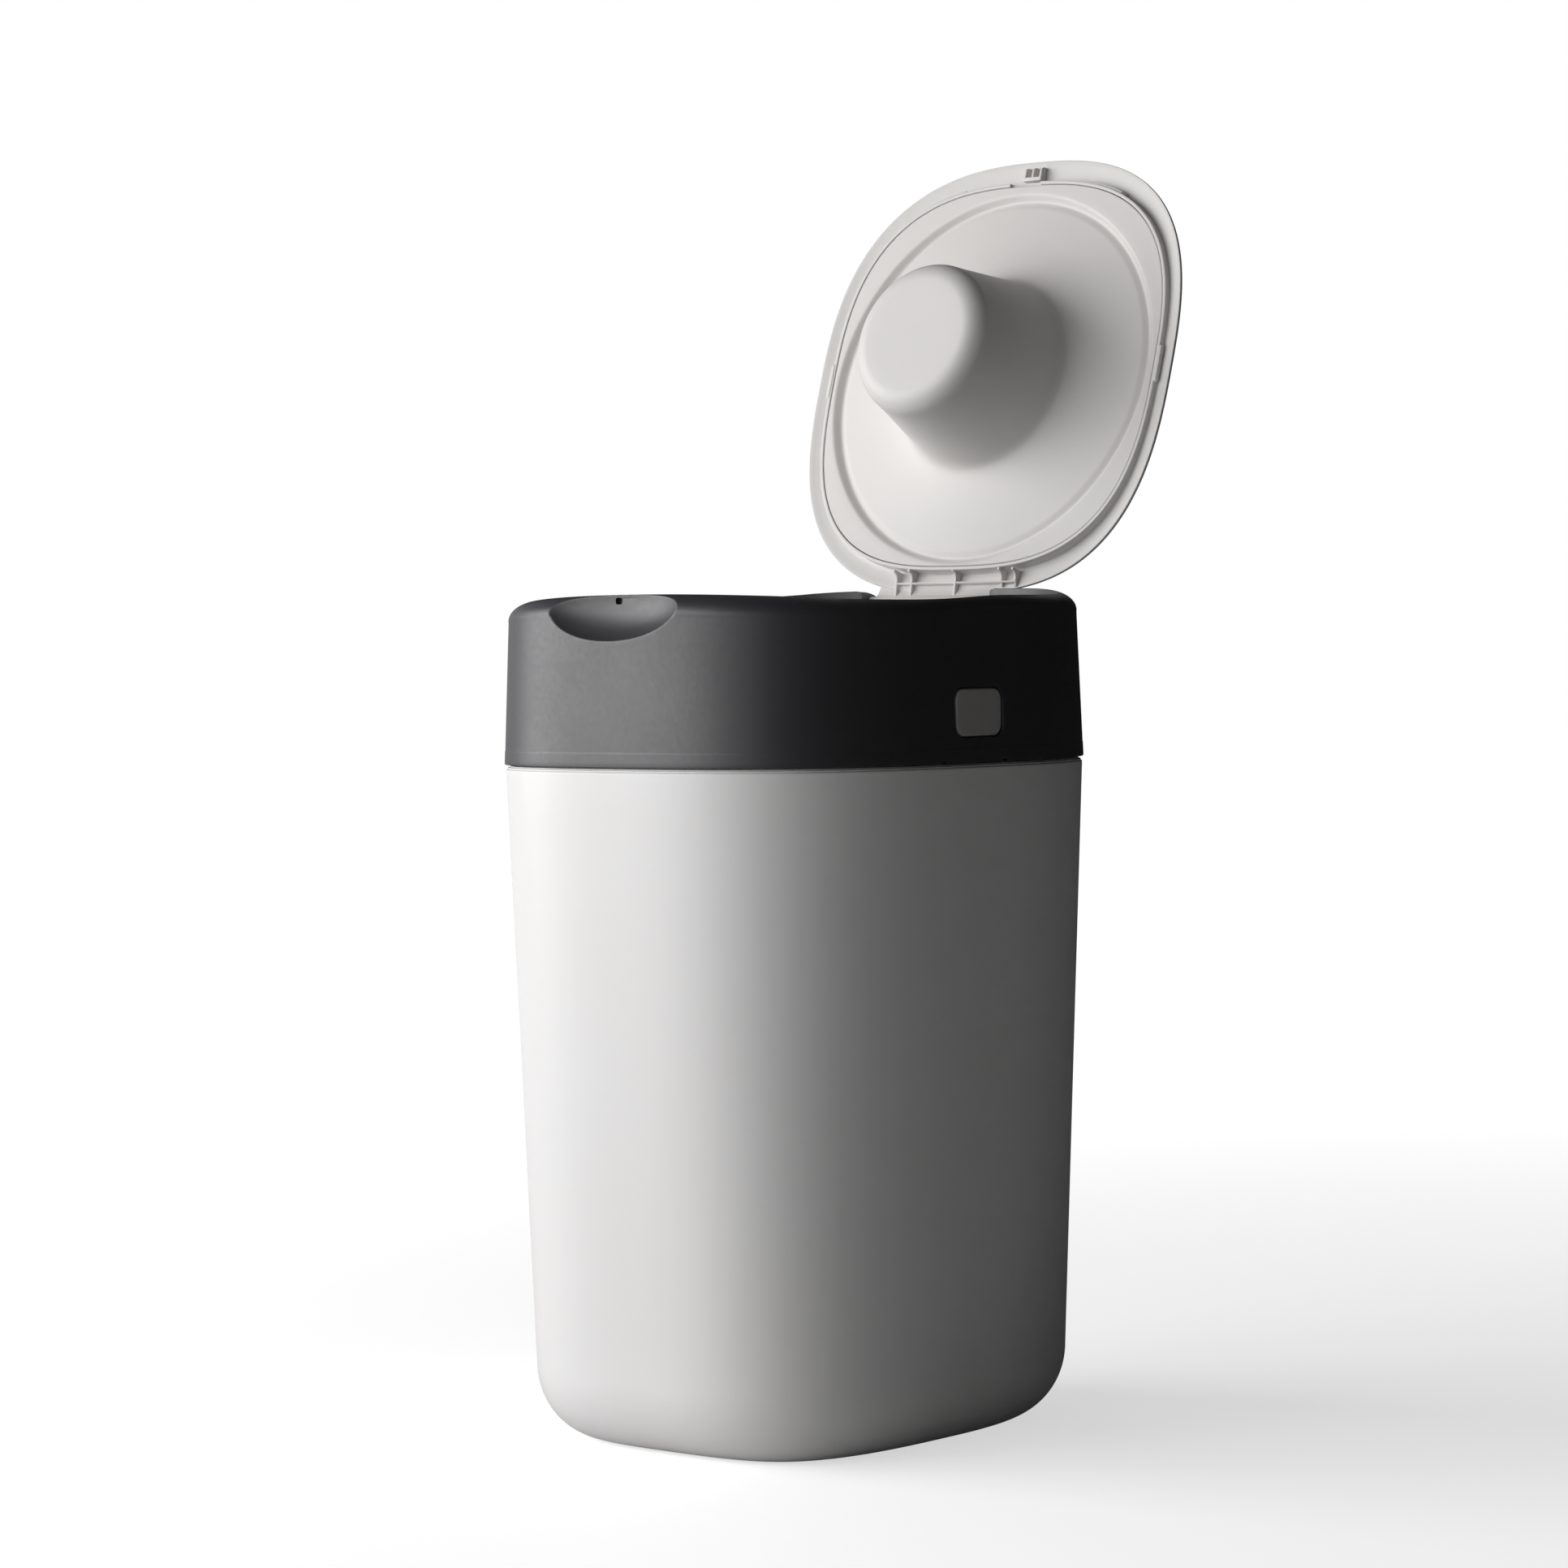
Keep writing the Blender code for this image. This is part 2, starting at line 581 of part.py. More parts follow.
LS = BUTTON_Y - 0.0203, BUTTON_Y + 0.0203
latch_slide = finish("latch_slide", prism([
    (SLIDE_X0, 0.3125), (0.1116, 0.3125), (0.1116, 0.3140), (SLIDE_X1, 0.3150), (SLIDE_X1, 0.3520),
    (SLIDE_X0, 0.3520)], "y", LS[0], LS[1]), m_mech)

B0, B1 = BUTTON_Y - 0.0246, BUTTON_Y + 0.0246
latch_bracket = finish("latch_bracket", prism([
    (0.0965, B0), (0.1112, B0), (0.1112, B0 + 0.0018), (0.0983, B0 + 0.0018), (0.0983, B1 - 0.0018),
    (0.1112, B1 - 0.0018), (0.1112, B1), (0.0965, B1)], "z", 0.3280, 0.3540), m_mech)
for k, s in enumerate((-1, 1)):
    finish("button_spring_%d" % (k + 1),
           coil("x", (BUTTON_Y + s * 0.0105, BUTTON_Z), 0.0986, 0.1077, 0.0026, 0.0004, 4), m_steel)

# ------------------------------------------- twist ring and film cassette
TSEG = 2 * TEETH
profile = [(0.0945, 0.3841), (0.0945, 0.3870), (0.0935, 0.3878), (0.0918, 0.3878), (0.0900, 0.3868),
           (0.0872, 0.3862), (0.0868, 0.3850), (0.0868, 0.3392), (0.0600, 0.3392), (0.0600, 0.3368),
           (0.0882, 0.3368), ("low", 0.3440), ("tooth", 0.3456), ("tooth", 0.3544), ("low", 0.3560),
           (0.0882, 0.3825)]
rings = []
for r, z in profile:
    if r == "low":
        rings.append(at(circle(0.0882, RING_Y, TSEG), z))
    elif r == "tooth":
        pts = []
        for k in range(TSEG):
            a = 2 * math.pi * k / TSEG
            rr = 0.0896 if k % 2 else 0.0882
            pts.append((rr * math.cos(a), RING_Y + rr * math.sin(a)))
        rings.append(at(pts, z))
    else:
        rings.append(at(circle(r, RING_Y, TSEG), z))
twist_ring = finish("twist_ring", loft(rings, loop=True), m_ring)
for k in range(4):
    a = math.radians(45 + 90 * k)
    ca, sa = math.cos(a), math.sin(a)
    lug = box(0.0770, 0.0890, -0.0075, 0.0075, 0.3836, 0.3866)
    bmesh.ops.transform(lug, matrix=Matrix.Translation((0, RING_Y, 0)) @ Matrix.Rotation(a, 4, "Z"),
                        verts=lug.verts[:])
    add(twist_ring, lug)

cassette_body = finish("cassette_body", turned([
    (0.0580, 0.3397), (0.0860, 0.3397), (0.0860, 0.3800), (0.0840, 0.3800), (0.0840, 0.3416),
    (0.0600, 0.3416), (0.0600, 0.3812), (0.0592, 0.3822), (0.0580, 0.3812)]), m_cass)
cassette_cap = finish("cassette_cap", turned([
    (0.0640, 0.3804), (0.0860, 0.3804), (0.0860, 0.3824), (0.0650, 0.3828), (0.0640, 0.3820)]), m_cap)
film_pack = finish("film_pack", turned([
    (0.0606, 0.3420), (0.0834, 0.3420), (0.0834, 0.3700), (0.0606, 0.3700)]), m_film)


# --------------------------------------------------------------------- lid
def edge_z(x, y=0.0):
    return LID_Z - LID_SADDLE * (x / LID_A) ** 2


def scaled(pts, s):
    return [(x * s, LID_YC + (y - LID_YC) * s) for x, y in pts]


def crown_z(x, s):
    """Height of the cover's top at a share s of the way out to its edge,
    which it meets at x."""
    top = edge_z(x) + 0.0020
    return top + (LID_CROWN_Z - top) * (1 - s ** 3.2)


def crown(s, drop=0.0):
    return [(x * s, LID_YC + (y - LID_YC) * s, crown_z(x, s) - drop) for x, y in lid_line(-0.0005)]


rings = [crown(s) for s in (0.02, 0.38, 0.66, 0.85, 0.95, 1.0)]
rings.append([(x, y, edge_z(x) + 0.0012) for x, y in lid_line(0.0)])
rings.append([(x, y, edge_z(x)) for x, y in lid_line(-0.0002)])
rings.append([(x, y, edge_z(x) + 0.0014) for x, y in liner_line(0.0021)])
rings.append(at(liner_line(0.0021), LINER_Z - 0.0003))
rings.append(at(liner_line(0.0006), LINER_Z - 0.0003))
inner = []
for (x, y), (ux, uy) in zip(liner_line(0.0006), lid_line(-0.0005)):
    s = math.hypot(x, y - LID_YC) / math.hypot(ux, uy - LID_YC)
    inner.append((x, y, crown_z(ux, s) - LID_SHELL))
rings.append(inner)
rings += [crown(0.76, LID_SHELL), crown(0.50, LID_SHELL), crown(0.02, LID_SHELL)]
lid_cover = finish("lid_cover", loft(rings), m_cover)

BX0, BX1 = NOTCH_X0 + 0.0006, NOTCH_X1 - 0.0006
# neck from the flange over the barrel, with the tail that covers the notch
neck = [(0.0965, 0.3962), (0.0965, 0.3985), (0.1040, 0.3974), (0.1110, 0.3956), (0.1165, 0.3938),
        (0.1172, 0.3924), (0.1142, 0.3922), (0.1142, 0.3888), (0.1125, 0.3873), (0.1093, 0.3873),
        (0.1078, 0.3886), (0.1078, 0.3925), (0.1040, 0.3945)]
add(lid_cover, prism(neck, "x", BX0, BX1))
# hinge leaf's ribs
RIB = 0.00065
for dx, y1 in ((-0.0370, 0.1085), (-0.0275, 0.1085), (0.0, 0.1085), (0.0285, 0.1022), (0.0370, 0.1022)):
    poly = [(0.0938, 0.3913), (0.0938, 0.3972), (0.1010, 0.3964), (y1, 0.3950), (y1, 0.3935), (0.0990, 0.3921)]
    add(lid_cover, prism(poly, "x", LEAF_X + dx - RIB, LEAF_X + dx + RIB))
add(lid_cover, box(LEAF_X - 0.0370, LEAF_X + 0.0370, 0.0995, 0.1005, 0.3924, 0.3968))
cut(lid_cover, rod("x", (LID_AXIS_Y, LID_AXIS_Z), 0.0019, NOTCH_X0 - 0.01, NOTCH_X1 + 0.01))
# latch tab under the front edge: a plate with three gussets in front of it
add(lid_cover, box(TAB_X - 0.0055, TAB_X + 0.0055, -0.1143, -0.1123, 0.3915, 0.3970))
for dx in (-0.0048, 0.0, 0.0048):
    poly = [(-0.1138, 0.3915), (-0.1138, 0.3970), (-0.1200, 0.3962), (-0.1200, 0.3946), (-0.1190, 0.3928),
            (-0.1170, 0.3917)]
    add(lid_cover, prism(poly, "x", TAB_X + dx - 0.0006, TAB_X + dx + 0.0006))

# liner: plate with the seal groove, dished centre and hollow plunger
TIP_R, TIP_ROUND = 0.0288, 0.0106
under = [(0.0972, LINER_Z), (0.0948, 0.3918), (0.0936, 0.3918), (0.0900, 0.3905), (0.0700, 0.3880),
         (0.0600, 0.3864), (0.0530, 0.3847), (0.0494, 0.3823), (0.0479, 0.3785)]
for deg in (78, 52, 26, 0):
    q = math.radians(deg)
    under.append((TIP_R + TIP_ROUND * math.sin(q), PLUNGER_TIP_Z + TIP_ROUND * (1 - math.cos(q))))
above = [(0.0275, PLUNGER_TIP_Z + 0.0020), (0.0340, PLUNGER_TIP_Z + 0.0050), (0.0372, 0.3372), (0.0457, 0.3785),
         (0.0478, 0.3845), (0.0530, 0.3868), (0.0890, 0.3922), (0.0922, 0.3936), (0.0958, 0.3936),
         (0.0976, LINER_Z + LINER_T)]
rings = [at(liner_line(0.0), LINER_Z + LINER_T), at(liner_line(0.0), LINER_Z)]
rings += [at(circle(r, RING_Y, SEG), z) for r, z in under]
inner_rings = [at(circle(r, RING_Y, SEG), z) for r, z in above]
bm = bmesh.new()
vs = [[bm.verts.new(p) for p in r] for r in rings]
vi = [[bm.verts.new(p) for p in r] for r in inner_rings]
for a, b in zip(vs[:-1], vs[1:]):
    for k in range(SEG):
        j = (k + 1) % SEG
        bm.faces.new((a[k], a[j], b[j], b[k]))
bm.faces.new(vs[-1])
for a, b in zip(vi[:-1], vi[1:]):
    for k in range(SEG):
        j = (k + 1) % SEG
        bm.faces.new((a[k], a[j], b[j], b[k]))
bm.faces.new(list(reversed(vi[0])))
for k in range(SEG):
    j = (k + 1) % SEG
    bm.faces.new((vi[-1][k], vi[-1][j], vs[0][j], vs[0][k]))
lid_liner = finish("lid_liner", bm, m_liner)

# ------------------------------------------------- joints and their frames


def axis_empty(name, loc, rot=(0.0, 0.0, 0.0)):
    e = bpy.data.objects.new(name, None)
    e.empty_display_size = 0.03
    e.location = loc
    e.rotation_euler = rot
    bpy.context.scene.collection.objects.link(e)
    return e


def carry(parent, names):
    """Parent pieces whose meshes are drawn in place, with the parent at its
    location but unturned."""
    back = Matrix.Translation(-Vector(parent.location))
    for n in names:
        o = bpy.data.objects[n]
        o.parent = parent
        o.matrix_parent_inverse = back


upper = axis_empty("upper_unit_axis", (SIDE_AXIS_X, 0.0, SIDE_AXIS_Z))
lid_axis = axis_empty("lid_axis", (0.0, LID_AXIS_Y, LID_AXIS_Z), (-math.radians(LID_OPEN_DEG), 0.0, 0.0))
ring_axis = axis_empty("twist_axis", (0.0, RING_Y, DECK_TOP))
button_axis = axis_empty("button_axis", (SLIDE_X0, BUTTON_Y, BUTTON_Z))
cutter_axis = axis_empty("cutter_axis", (SL0, CUT_Y, 0.3235))
pawl_axis = axis_empty("pawl_axis", (0.0, PAWL_TIP, 0.3500))
carry(upper, ["casing", "ring_housing", "housing_screw_1", "housing_screw_2", "housing_screw_3",
              "housing_screw_4", "grip_fingers", "cutter_rail", "latch_bracket", "button_spring_1",
              "button_spring_2", "pawl_spring", "pawl_cap", "lid_hinge_pin"])
carry(lid_axis, ["lid_cover", "lid_liner"])
carry(ring_axis, ["twist_ring", "cassette_body", "cassette_cap", "film_pack"])
carry(button_axis, ["release_button", "latch_slide"])
carry(cutter_axis, ["cutter_slider", "cutter_blade"])
carry(pawl_axis, ["click_pawl"])
for e in (lid_axis, ring_axis, button_axis, cutter_axis, pawl_axis):
    e.parent = upper
    e.matrix_parent_inverse = Matrix.Translation(-Vector(upper.location))
bpy.context.view_layer.update()
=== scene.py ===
"""Looks of a nappy bin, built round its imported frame: fine shells, materials,
floor, light and camera.  Metres, +Z up, front towards -Y."""
import math

import bmesh
import bpy
import numpy as np
from mathutils import Matrix, Vector


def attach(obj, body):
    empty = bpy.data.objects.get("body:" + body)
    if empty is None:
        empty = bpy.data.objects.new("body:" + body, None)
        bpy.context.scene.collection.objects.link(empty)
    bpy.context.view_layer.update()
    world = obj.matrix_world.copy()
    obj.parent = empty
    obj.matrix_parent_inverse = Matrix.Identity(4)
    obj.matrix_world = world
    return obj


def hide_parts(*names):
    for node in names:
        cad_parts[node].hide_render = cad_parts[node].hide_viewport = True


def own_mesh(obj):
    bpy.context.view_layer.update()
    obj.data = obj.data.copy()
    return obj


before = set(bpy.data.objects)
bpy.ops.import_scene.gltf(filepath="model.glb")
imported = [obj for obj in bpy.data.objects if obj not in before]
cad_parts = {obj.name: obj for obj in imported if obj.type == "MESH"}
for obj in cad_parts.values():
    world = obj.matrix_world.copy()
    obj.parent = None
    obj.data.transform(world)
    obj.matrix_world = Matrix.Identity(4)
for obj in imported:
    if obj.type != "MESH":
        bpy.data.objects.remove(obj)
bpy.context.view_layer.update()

# ------------------------------------------------------------ sizes (metres)
BODY_A, BODY_F, BODY_B, BODY_NF, BODY_NB = 0.1158, 0.1410, 0.1314, 2.978, 2.516
SHOULDER_Z, TUB_TAPER = 0.3149, 0.0384
TUB_FILLET_H, TUB_FILLET_V, TUB_WALL = 0.0315, 0.0347, 0.0025
SPIGOT_INSET, SPIGOT_TOP = 0.0047, 0.3228
CASE_BOTTOM, CASE_TAPER, CASE_PROUD, CASE_WALL = 0.3170, 0.0392, 0.0008, 0.0028
CASE_FILLET_H, CASE_FILLET_V = 0.0160, 0.0095
RIM_FRONT_Z, RIM_REAR_Z, RIM_SIDE_DROP = 0.3955, 0.3990, 0.0045
DECK_TOP, DECK_BOTTOM, DECK_HOLE_R = 0.3835, 0.3815, 0.0925
LID_A, LID_F, LID_B, LID_NF, LID_NB = 0.1099, 0.1127, 0.1158, 2.548, 2.852
LID_YC, LID_Z, LID_SADDLE, LID_CROWN_Z, LID_SHELL = -0.0111, 0.3950, 0.0054, 0.4065, 0.0022
LINER_A, LINER_F, LINER_B, LINER_NF, LINER_NB = 0.1000, 0.0973, 0.1035, 2.690, 2.920
LINER_Z, LINER_T = 0.3890, 0.0018
RECESS_GAP, RECESS_GAP_REAR = 0.0015, 0.0030
LID_AXIS_Y, LID_AXIS_Z, LID_OPEN_DEG = 0.1109, 0.3912, 107.84
RING_Y, PLUNGER_TIP_Z = -0.0062, 0.3260
SIDE_AXIS_X, SIDE_AXIS_Z, KNUCKLE_R, SIDE_PIN_R = -0.1207, 0.3160, 0.0036, 0.0013
BUTTON_Y, BUTTON_Z, BUTTON_W, BUTTON_H = -0.0160, 0.3400, 0.0336, 0.0218
NOTCH_X0, NOTCH_X1, NOTCH_Y0, NOTCH_Y1, NOTCH_FLOOR = -0.0495, 0.0280, 0.1000, 0.1205, 0.3830
SCOOP = (-0.0020, -0.1456, 0.3928)
SCOOP_R = (0.0455, 0.0192, 0.0193)
TIP_R, TIP_ROUND = 0.0288, 0.0106
TAB_X = 0.0019

EVEN = np.linspace(0.0, 2 * math.pi, 360, endpoint=False)
# the casing's outline is denser in front, where the finger scoop is
CASE_T = np.radians(np.concatenate([np.arange(249.6, 290.41, 0.2), np.arange(291.0, 609.1, 1.0)]) % 360.0)
CASE_T = np.roll(np.sort(CASE_T), 0)


# ----------------------------------------------------------------- outlines
def outline(a, f, b, nf, nb, off, yc, t):
    c, s = np.cos(t), np.sin(t)
    c = np.where(np.abs(c) < 1e-9, 0.0, c)
    s = np.where(np.abs(s) < 1e-9, 0.0, s)
    q = np.where(s > 0, b, f)
    e = np.where(s > 0, nb, nf)
    r = (np.abs(c / a) ** e + np.abs(s / q) ** e) ** (-1 / e)
    x, y = r * c, r * s
    nx = np.sign(x) * np.abs(x / a) ** (e - 1) / a
    ny = np.sign(y) * np.abs(y / q) ** (e - 1) / q
    m = np.hypot(nx, ny)
    off = np.asarray(off)
    return np.stack([x + off * nx / m, y + off * ny / m + yc], 1)


def body(off, t=EVEN):
    return outline(BODY_A, BODY_F, BODY_B, BODY_NF, BODY_NB, off, 0.0, t)


def lid_line(off, t=EVEN):
    return outline(LID_A, LID_F, LID_B, LID_NF, LID_NB, off, LID_YC, t)


def liner_line(off, t=EVEN):
    return outline(LINER_A, LINER_F, LINER_B, LINER_NF, LINER_NB, off, LID_YC, t)


def circle(r, yc=RING_Y, n=360, xc=0.0):
    a = np.linspace(0.0, 2 * math.pi, n, endpoint=False)
    return np.stack([xc + r * np.cos(a), yc + r * np.sin(a)], 1)


def at(pts, z):
    z = np.broadcast_to(np.asarray(z, float), (len(pts),))
    return np.column_stack([pts, z])


def mix(a, b, k):
    return a * (1 - k) + b * k


# ------------------------------------------------------------- mesh helpers
def skin(rings, loop=False, first=True, last=True):
    """(points, faces) of a stack of equal rings."""
    n = len(rings[0])
    pts = np.concatenate(rings)
    k = np.arange(n)
    j = (k + 1) % n
    faces = []
    top = len(rings) if loop else len(rings) - 1
    for i in range(top):
        a, b = i * n, ((i + 1) % len(rings)) * n
        faces += np.stack([a + k, a + j, b + j, b + k], 1).tolist()
    if not loop and first:
        faces.append(list(range(n))[::-1])
    if not loop and last:
        faces.append([(len(rings) - 1) * n + i for i in range(n)])
    return pts, faces


def to_bm(pts, faces, weld=1e-6):
    me = bpy.data.meshes.new("part")
    me.from_pydata([tuple(p) for p in pts], [], faces)
    bm = bmesh.new()
    bm.from_mesh(me)
    bpy.data.meshes.remove(me)
    if weld:
        bmesh.ops.remove_doubles(bm, verts=bm.verts[:], dist=weld)
        bmesh.ops.dissolve_degenerate(bm, edges=bm.edges[:], dist=weld)
    bmesh.ops.recalc_face_normals(bm, faces=bm.faces[:])
    return bm


def loft(rings, loop=False, first=True, last=True):
    return to_bm(*skin([np.asarray(r, float) for r in rings], loop, first, last))


def turned(profile, yc=RING_Y, n=192):
    return loft([at(circle(r, yc, n), z) for r, z in profile], loop=True)


def rounded(profile, r, steps=3):
    """Closed (u, v) profile with each of its corners rounded by r."""
    out = []
    n = len(profile)
    for i in range(n):
        p0, p1, p2 = (np.array(profile[(i + d) % n], float) for d in (-1, 0, 1))
        a, b = p0 - p1, p2 - p1
        la, lb = np.linalg.norm(a), np.linalg.norm(b)
        a, b = a / la, b / lb
        turn = math.acos(max(-1.0, min(1.0, float(a @ b))))
        if turn > math.radians(165):
            out.append(tuple(p1))
            continue
        cut_back = min(r / math.tan(turn / 2), 0.42 * la, 0.42 * lb)
        s, e = p1 + a * cut_back, p1 + b * cut_back
        for k in range(steps + 1):
            w = k / steps
            out.append(tuple((1 - w) ** 2 * s + 2 * w * (1 - w) * p1 + w ** 2 * e))
    return out


def box(x0, x1, y0, y1, z0, z1, bevel=0.0, seg=2):
    bm = bmesh.new()
    bmesh.ops.create_cube(bm, size=1.0)
    for v in bm.verts:
        v.co = Vector(((x0 + x1) / 2 + v.co.x * (x1 - x0), (y0 + y1) / 2 + v.co.y * (y1 - y0),
                       (z0 + z1) / 2 + v.co.z * (z1 - z0)))
    if bevel:
        bmesh.ops.bevel(bm, geom=bm.edges[:], offset=bevel, segments=seg, profile=0.5, affect="EDGES",
                        clamp_overlap=True)
    return bm


def prism(poly, axis, a0, a1, bevel=0.0, seg=2, angle=25.0):
    def put(p, a):
        return (a, p[0], p[1]) if axis == "x" else (p[0], a, p[1]) if axis == "y" else (p[0], p[1], a)
    bm = loft([[put(p, a0) for p in poly], [put(p, a1) for p in poly]])
    if bevel:
        edges = [e for e in bm.edges if len(e.link_faces) == 2 and e.calc_face_angle(0) > math.radians(angle)]
        bmesh.ops.bevel(bm, geom=edges, offset=bevel, segments=seg, profile=0.5, affect="EDGES",
                        clamp_overlap=True)
    return bm


def rod(axis, centre, r, a0, a1, n=32, bevel=0.0):
    poly = [(centre[0] + r * math.cos(2 * math.pi * k / n), centre[1] + r * math.sin(2 * math.pi * k / n))
            for k in range(n)]
    if not bevel:
        return prism(poly, axis, a0, a1)

    def put(p, a):
        return (a, p[0], p[1]) if axis == "x" else (p[0], a, p[1]) if axis == "y" else (p[0], p[1], a)
    rings = []
    for a, s in ((a0, r - bevel), (a0 + 0.3 * bevel, r - 0.3 * bevel), (a0 + bevel, r),
                 (a1 - bevel, r), (a1 - 0.3 * bevel, r - 0.3 * bevel), (a1, r - bevel)):
        rings.append([put((centre[0] + (p[0] - centre[0]) * s / r, centre[1] + (p[1] - centre[1]) * s / r), a)
                      for p in poly])
    return loft(rings)


def rounded_rect(cy, cz, w, h, r, per=10):
    pts = []
    for sy, sz, a0 in ((1, 1, 0), (-1, 1, 90), (-1, -1, 180), (1, -1, 270)):
        for k in range(per):
            a = math.radians(a0 + 90 * k / (per - 1))
            pts.append((cy + sy * (w / 2 - r) + r * math.cos(a), cz + sz * (h / 2 - r) + r * math.sin(a)))
    return pts


def coil(axis, centre, a0, a1, radius, wire, turns, per=24, sides=8):
    """Compression spring with its turns at an even pitch, as one tube."""
    total = int(turns * per)
    path = []
    for k in range(total + 1):
        t = k / total
        a = 2 * math.pi * turns * t
        s = a0 + wire + (a1 - a0 - 2 * wire) * t
        u, w = centre[0] + radius * math.cos(a), centre[1] + radius * math.sin(a)
        path.append(Vector((s, u, w)) if axis == "x" else Vector((u, s, w)))
    main = Vector((1, 0, 0)) if axis == "x" else Vector((0, 1, 0))
    rings = []
    for k, p in enumerate(path):
        tan = (path[min(k + 1, total)] - path[max(k - 1, 0)]).normalized()
        side = tan.cross(main).normalized()
        up = side.cross(tan).normalized()
        rings.append([tuple(p + wire * (math.cos(2 * math.pi * j / sides) * side
                                        + math.sin(2 * math.pi * j / sides) * up)) for j in range(sides)])
    return loft(rings)


def temp(bm):
    me = bpy.data.meshes.new("tool")
    bm.to_mesh(me)
    bm.free()
    o = bpy.data.objects.new("tool", me)
    bpy.context.scene.collection.objects.link(o)
    return o


def joined(parts):
    out = bmesh.new()
    for p in parts:
        me = bpy.data.meshes.new("part")
        p.to_mesh(me)
        p.free()
        out.from_mesh(me)
        bpy.data.meshes.remove(me)
    return out


def boolean(bm, parts, op, solver="EXACT"):
    """bm with the given closed parts, which are apart from each other, cut
    away or added."""
    parts = [p for p in parts]
    a, b = temp(bm), temp(joined(parts))
    mod = a.modifiers.new("cut", "BOOLEAN")
    mod.operation = op
    mod.solver = solver
    mod.object = b
    bpy.context.view_layer.update()
    dg = bpy.context.evaluated_depsgraph_get()
    me = bpy.data.meshes.new_from_object(a.evaluated_get(dg))
    out = bmesh.new()
    out.from_mesh(me)
    bpy.data.meshes.remove(me)
    for o in (a, b):
        old = o.data
        bpy.data.objects.remove(o, do_unlink=True)
        bpy.data.meshes.remove(old)
    bmesh.ops.remove_doubles(out, verts=out.verts[:], dist=2e-6)
    bmesh.ops.dissolve_degenerate(out, edges=out.edges[:], dist=1e-6)
    return out


def make(name, bm, mat, body_name, nodes, sharp=32.0, move=None):
    """A finished piece that stands for CAD nodes and rides on a body."""
    if move is not None:
        bmesh.ops.transform(bm, matrix=move, verts=bm.verts[:])
    long_faces = [f for f in bm.faces if len(f.verts) > 4]
    if long_faces:
        bmesh.ops.triangulate(bm, faces=long_faces)
    me = bpy.data.meshes.new(name)
    bm.to_mesh(me)
    bm.free()
    me.materials.clear()
    me.materials.append(mat)
    for p in me.polygons:
        p.material_index = 0
    me.shade_smooth()
    me.set_sharp_from_angle(angle=math.radians(sharp))
    o = bpy.data.objects.new(name, me)
    bpy.context.scene.collection.objects.link(o)
    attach(o, body_name)
    if nodes:
        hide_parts(*nodes)
    return o


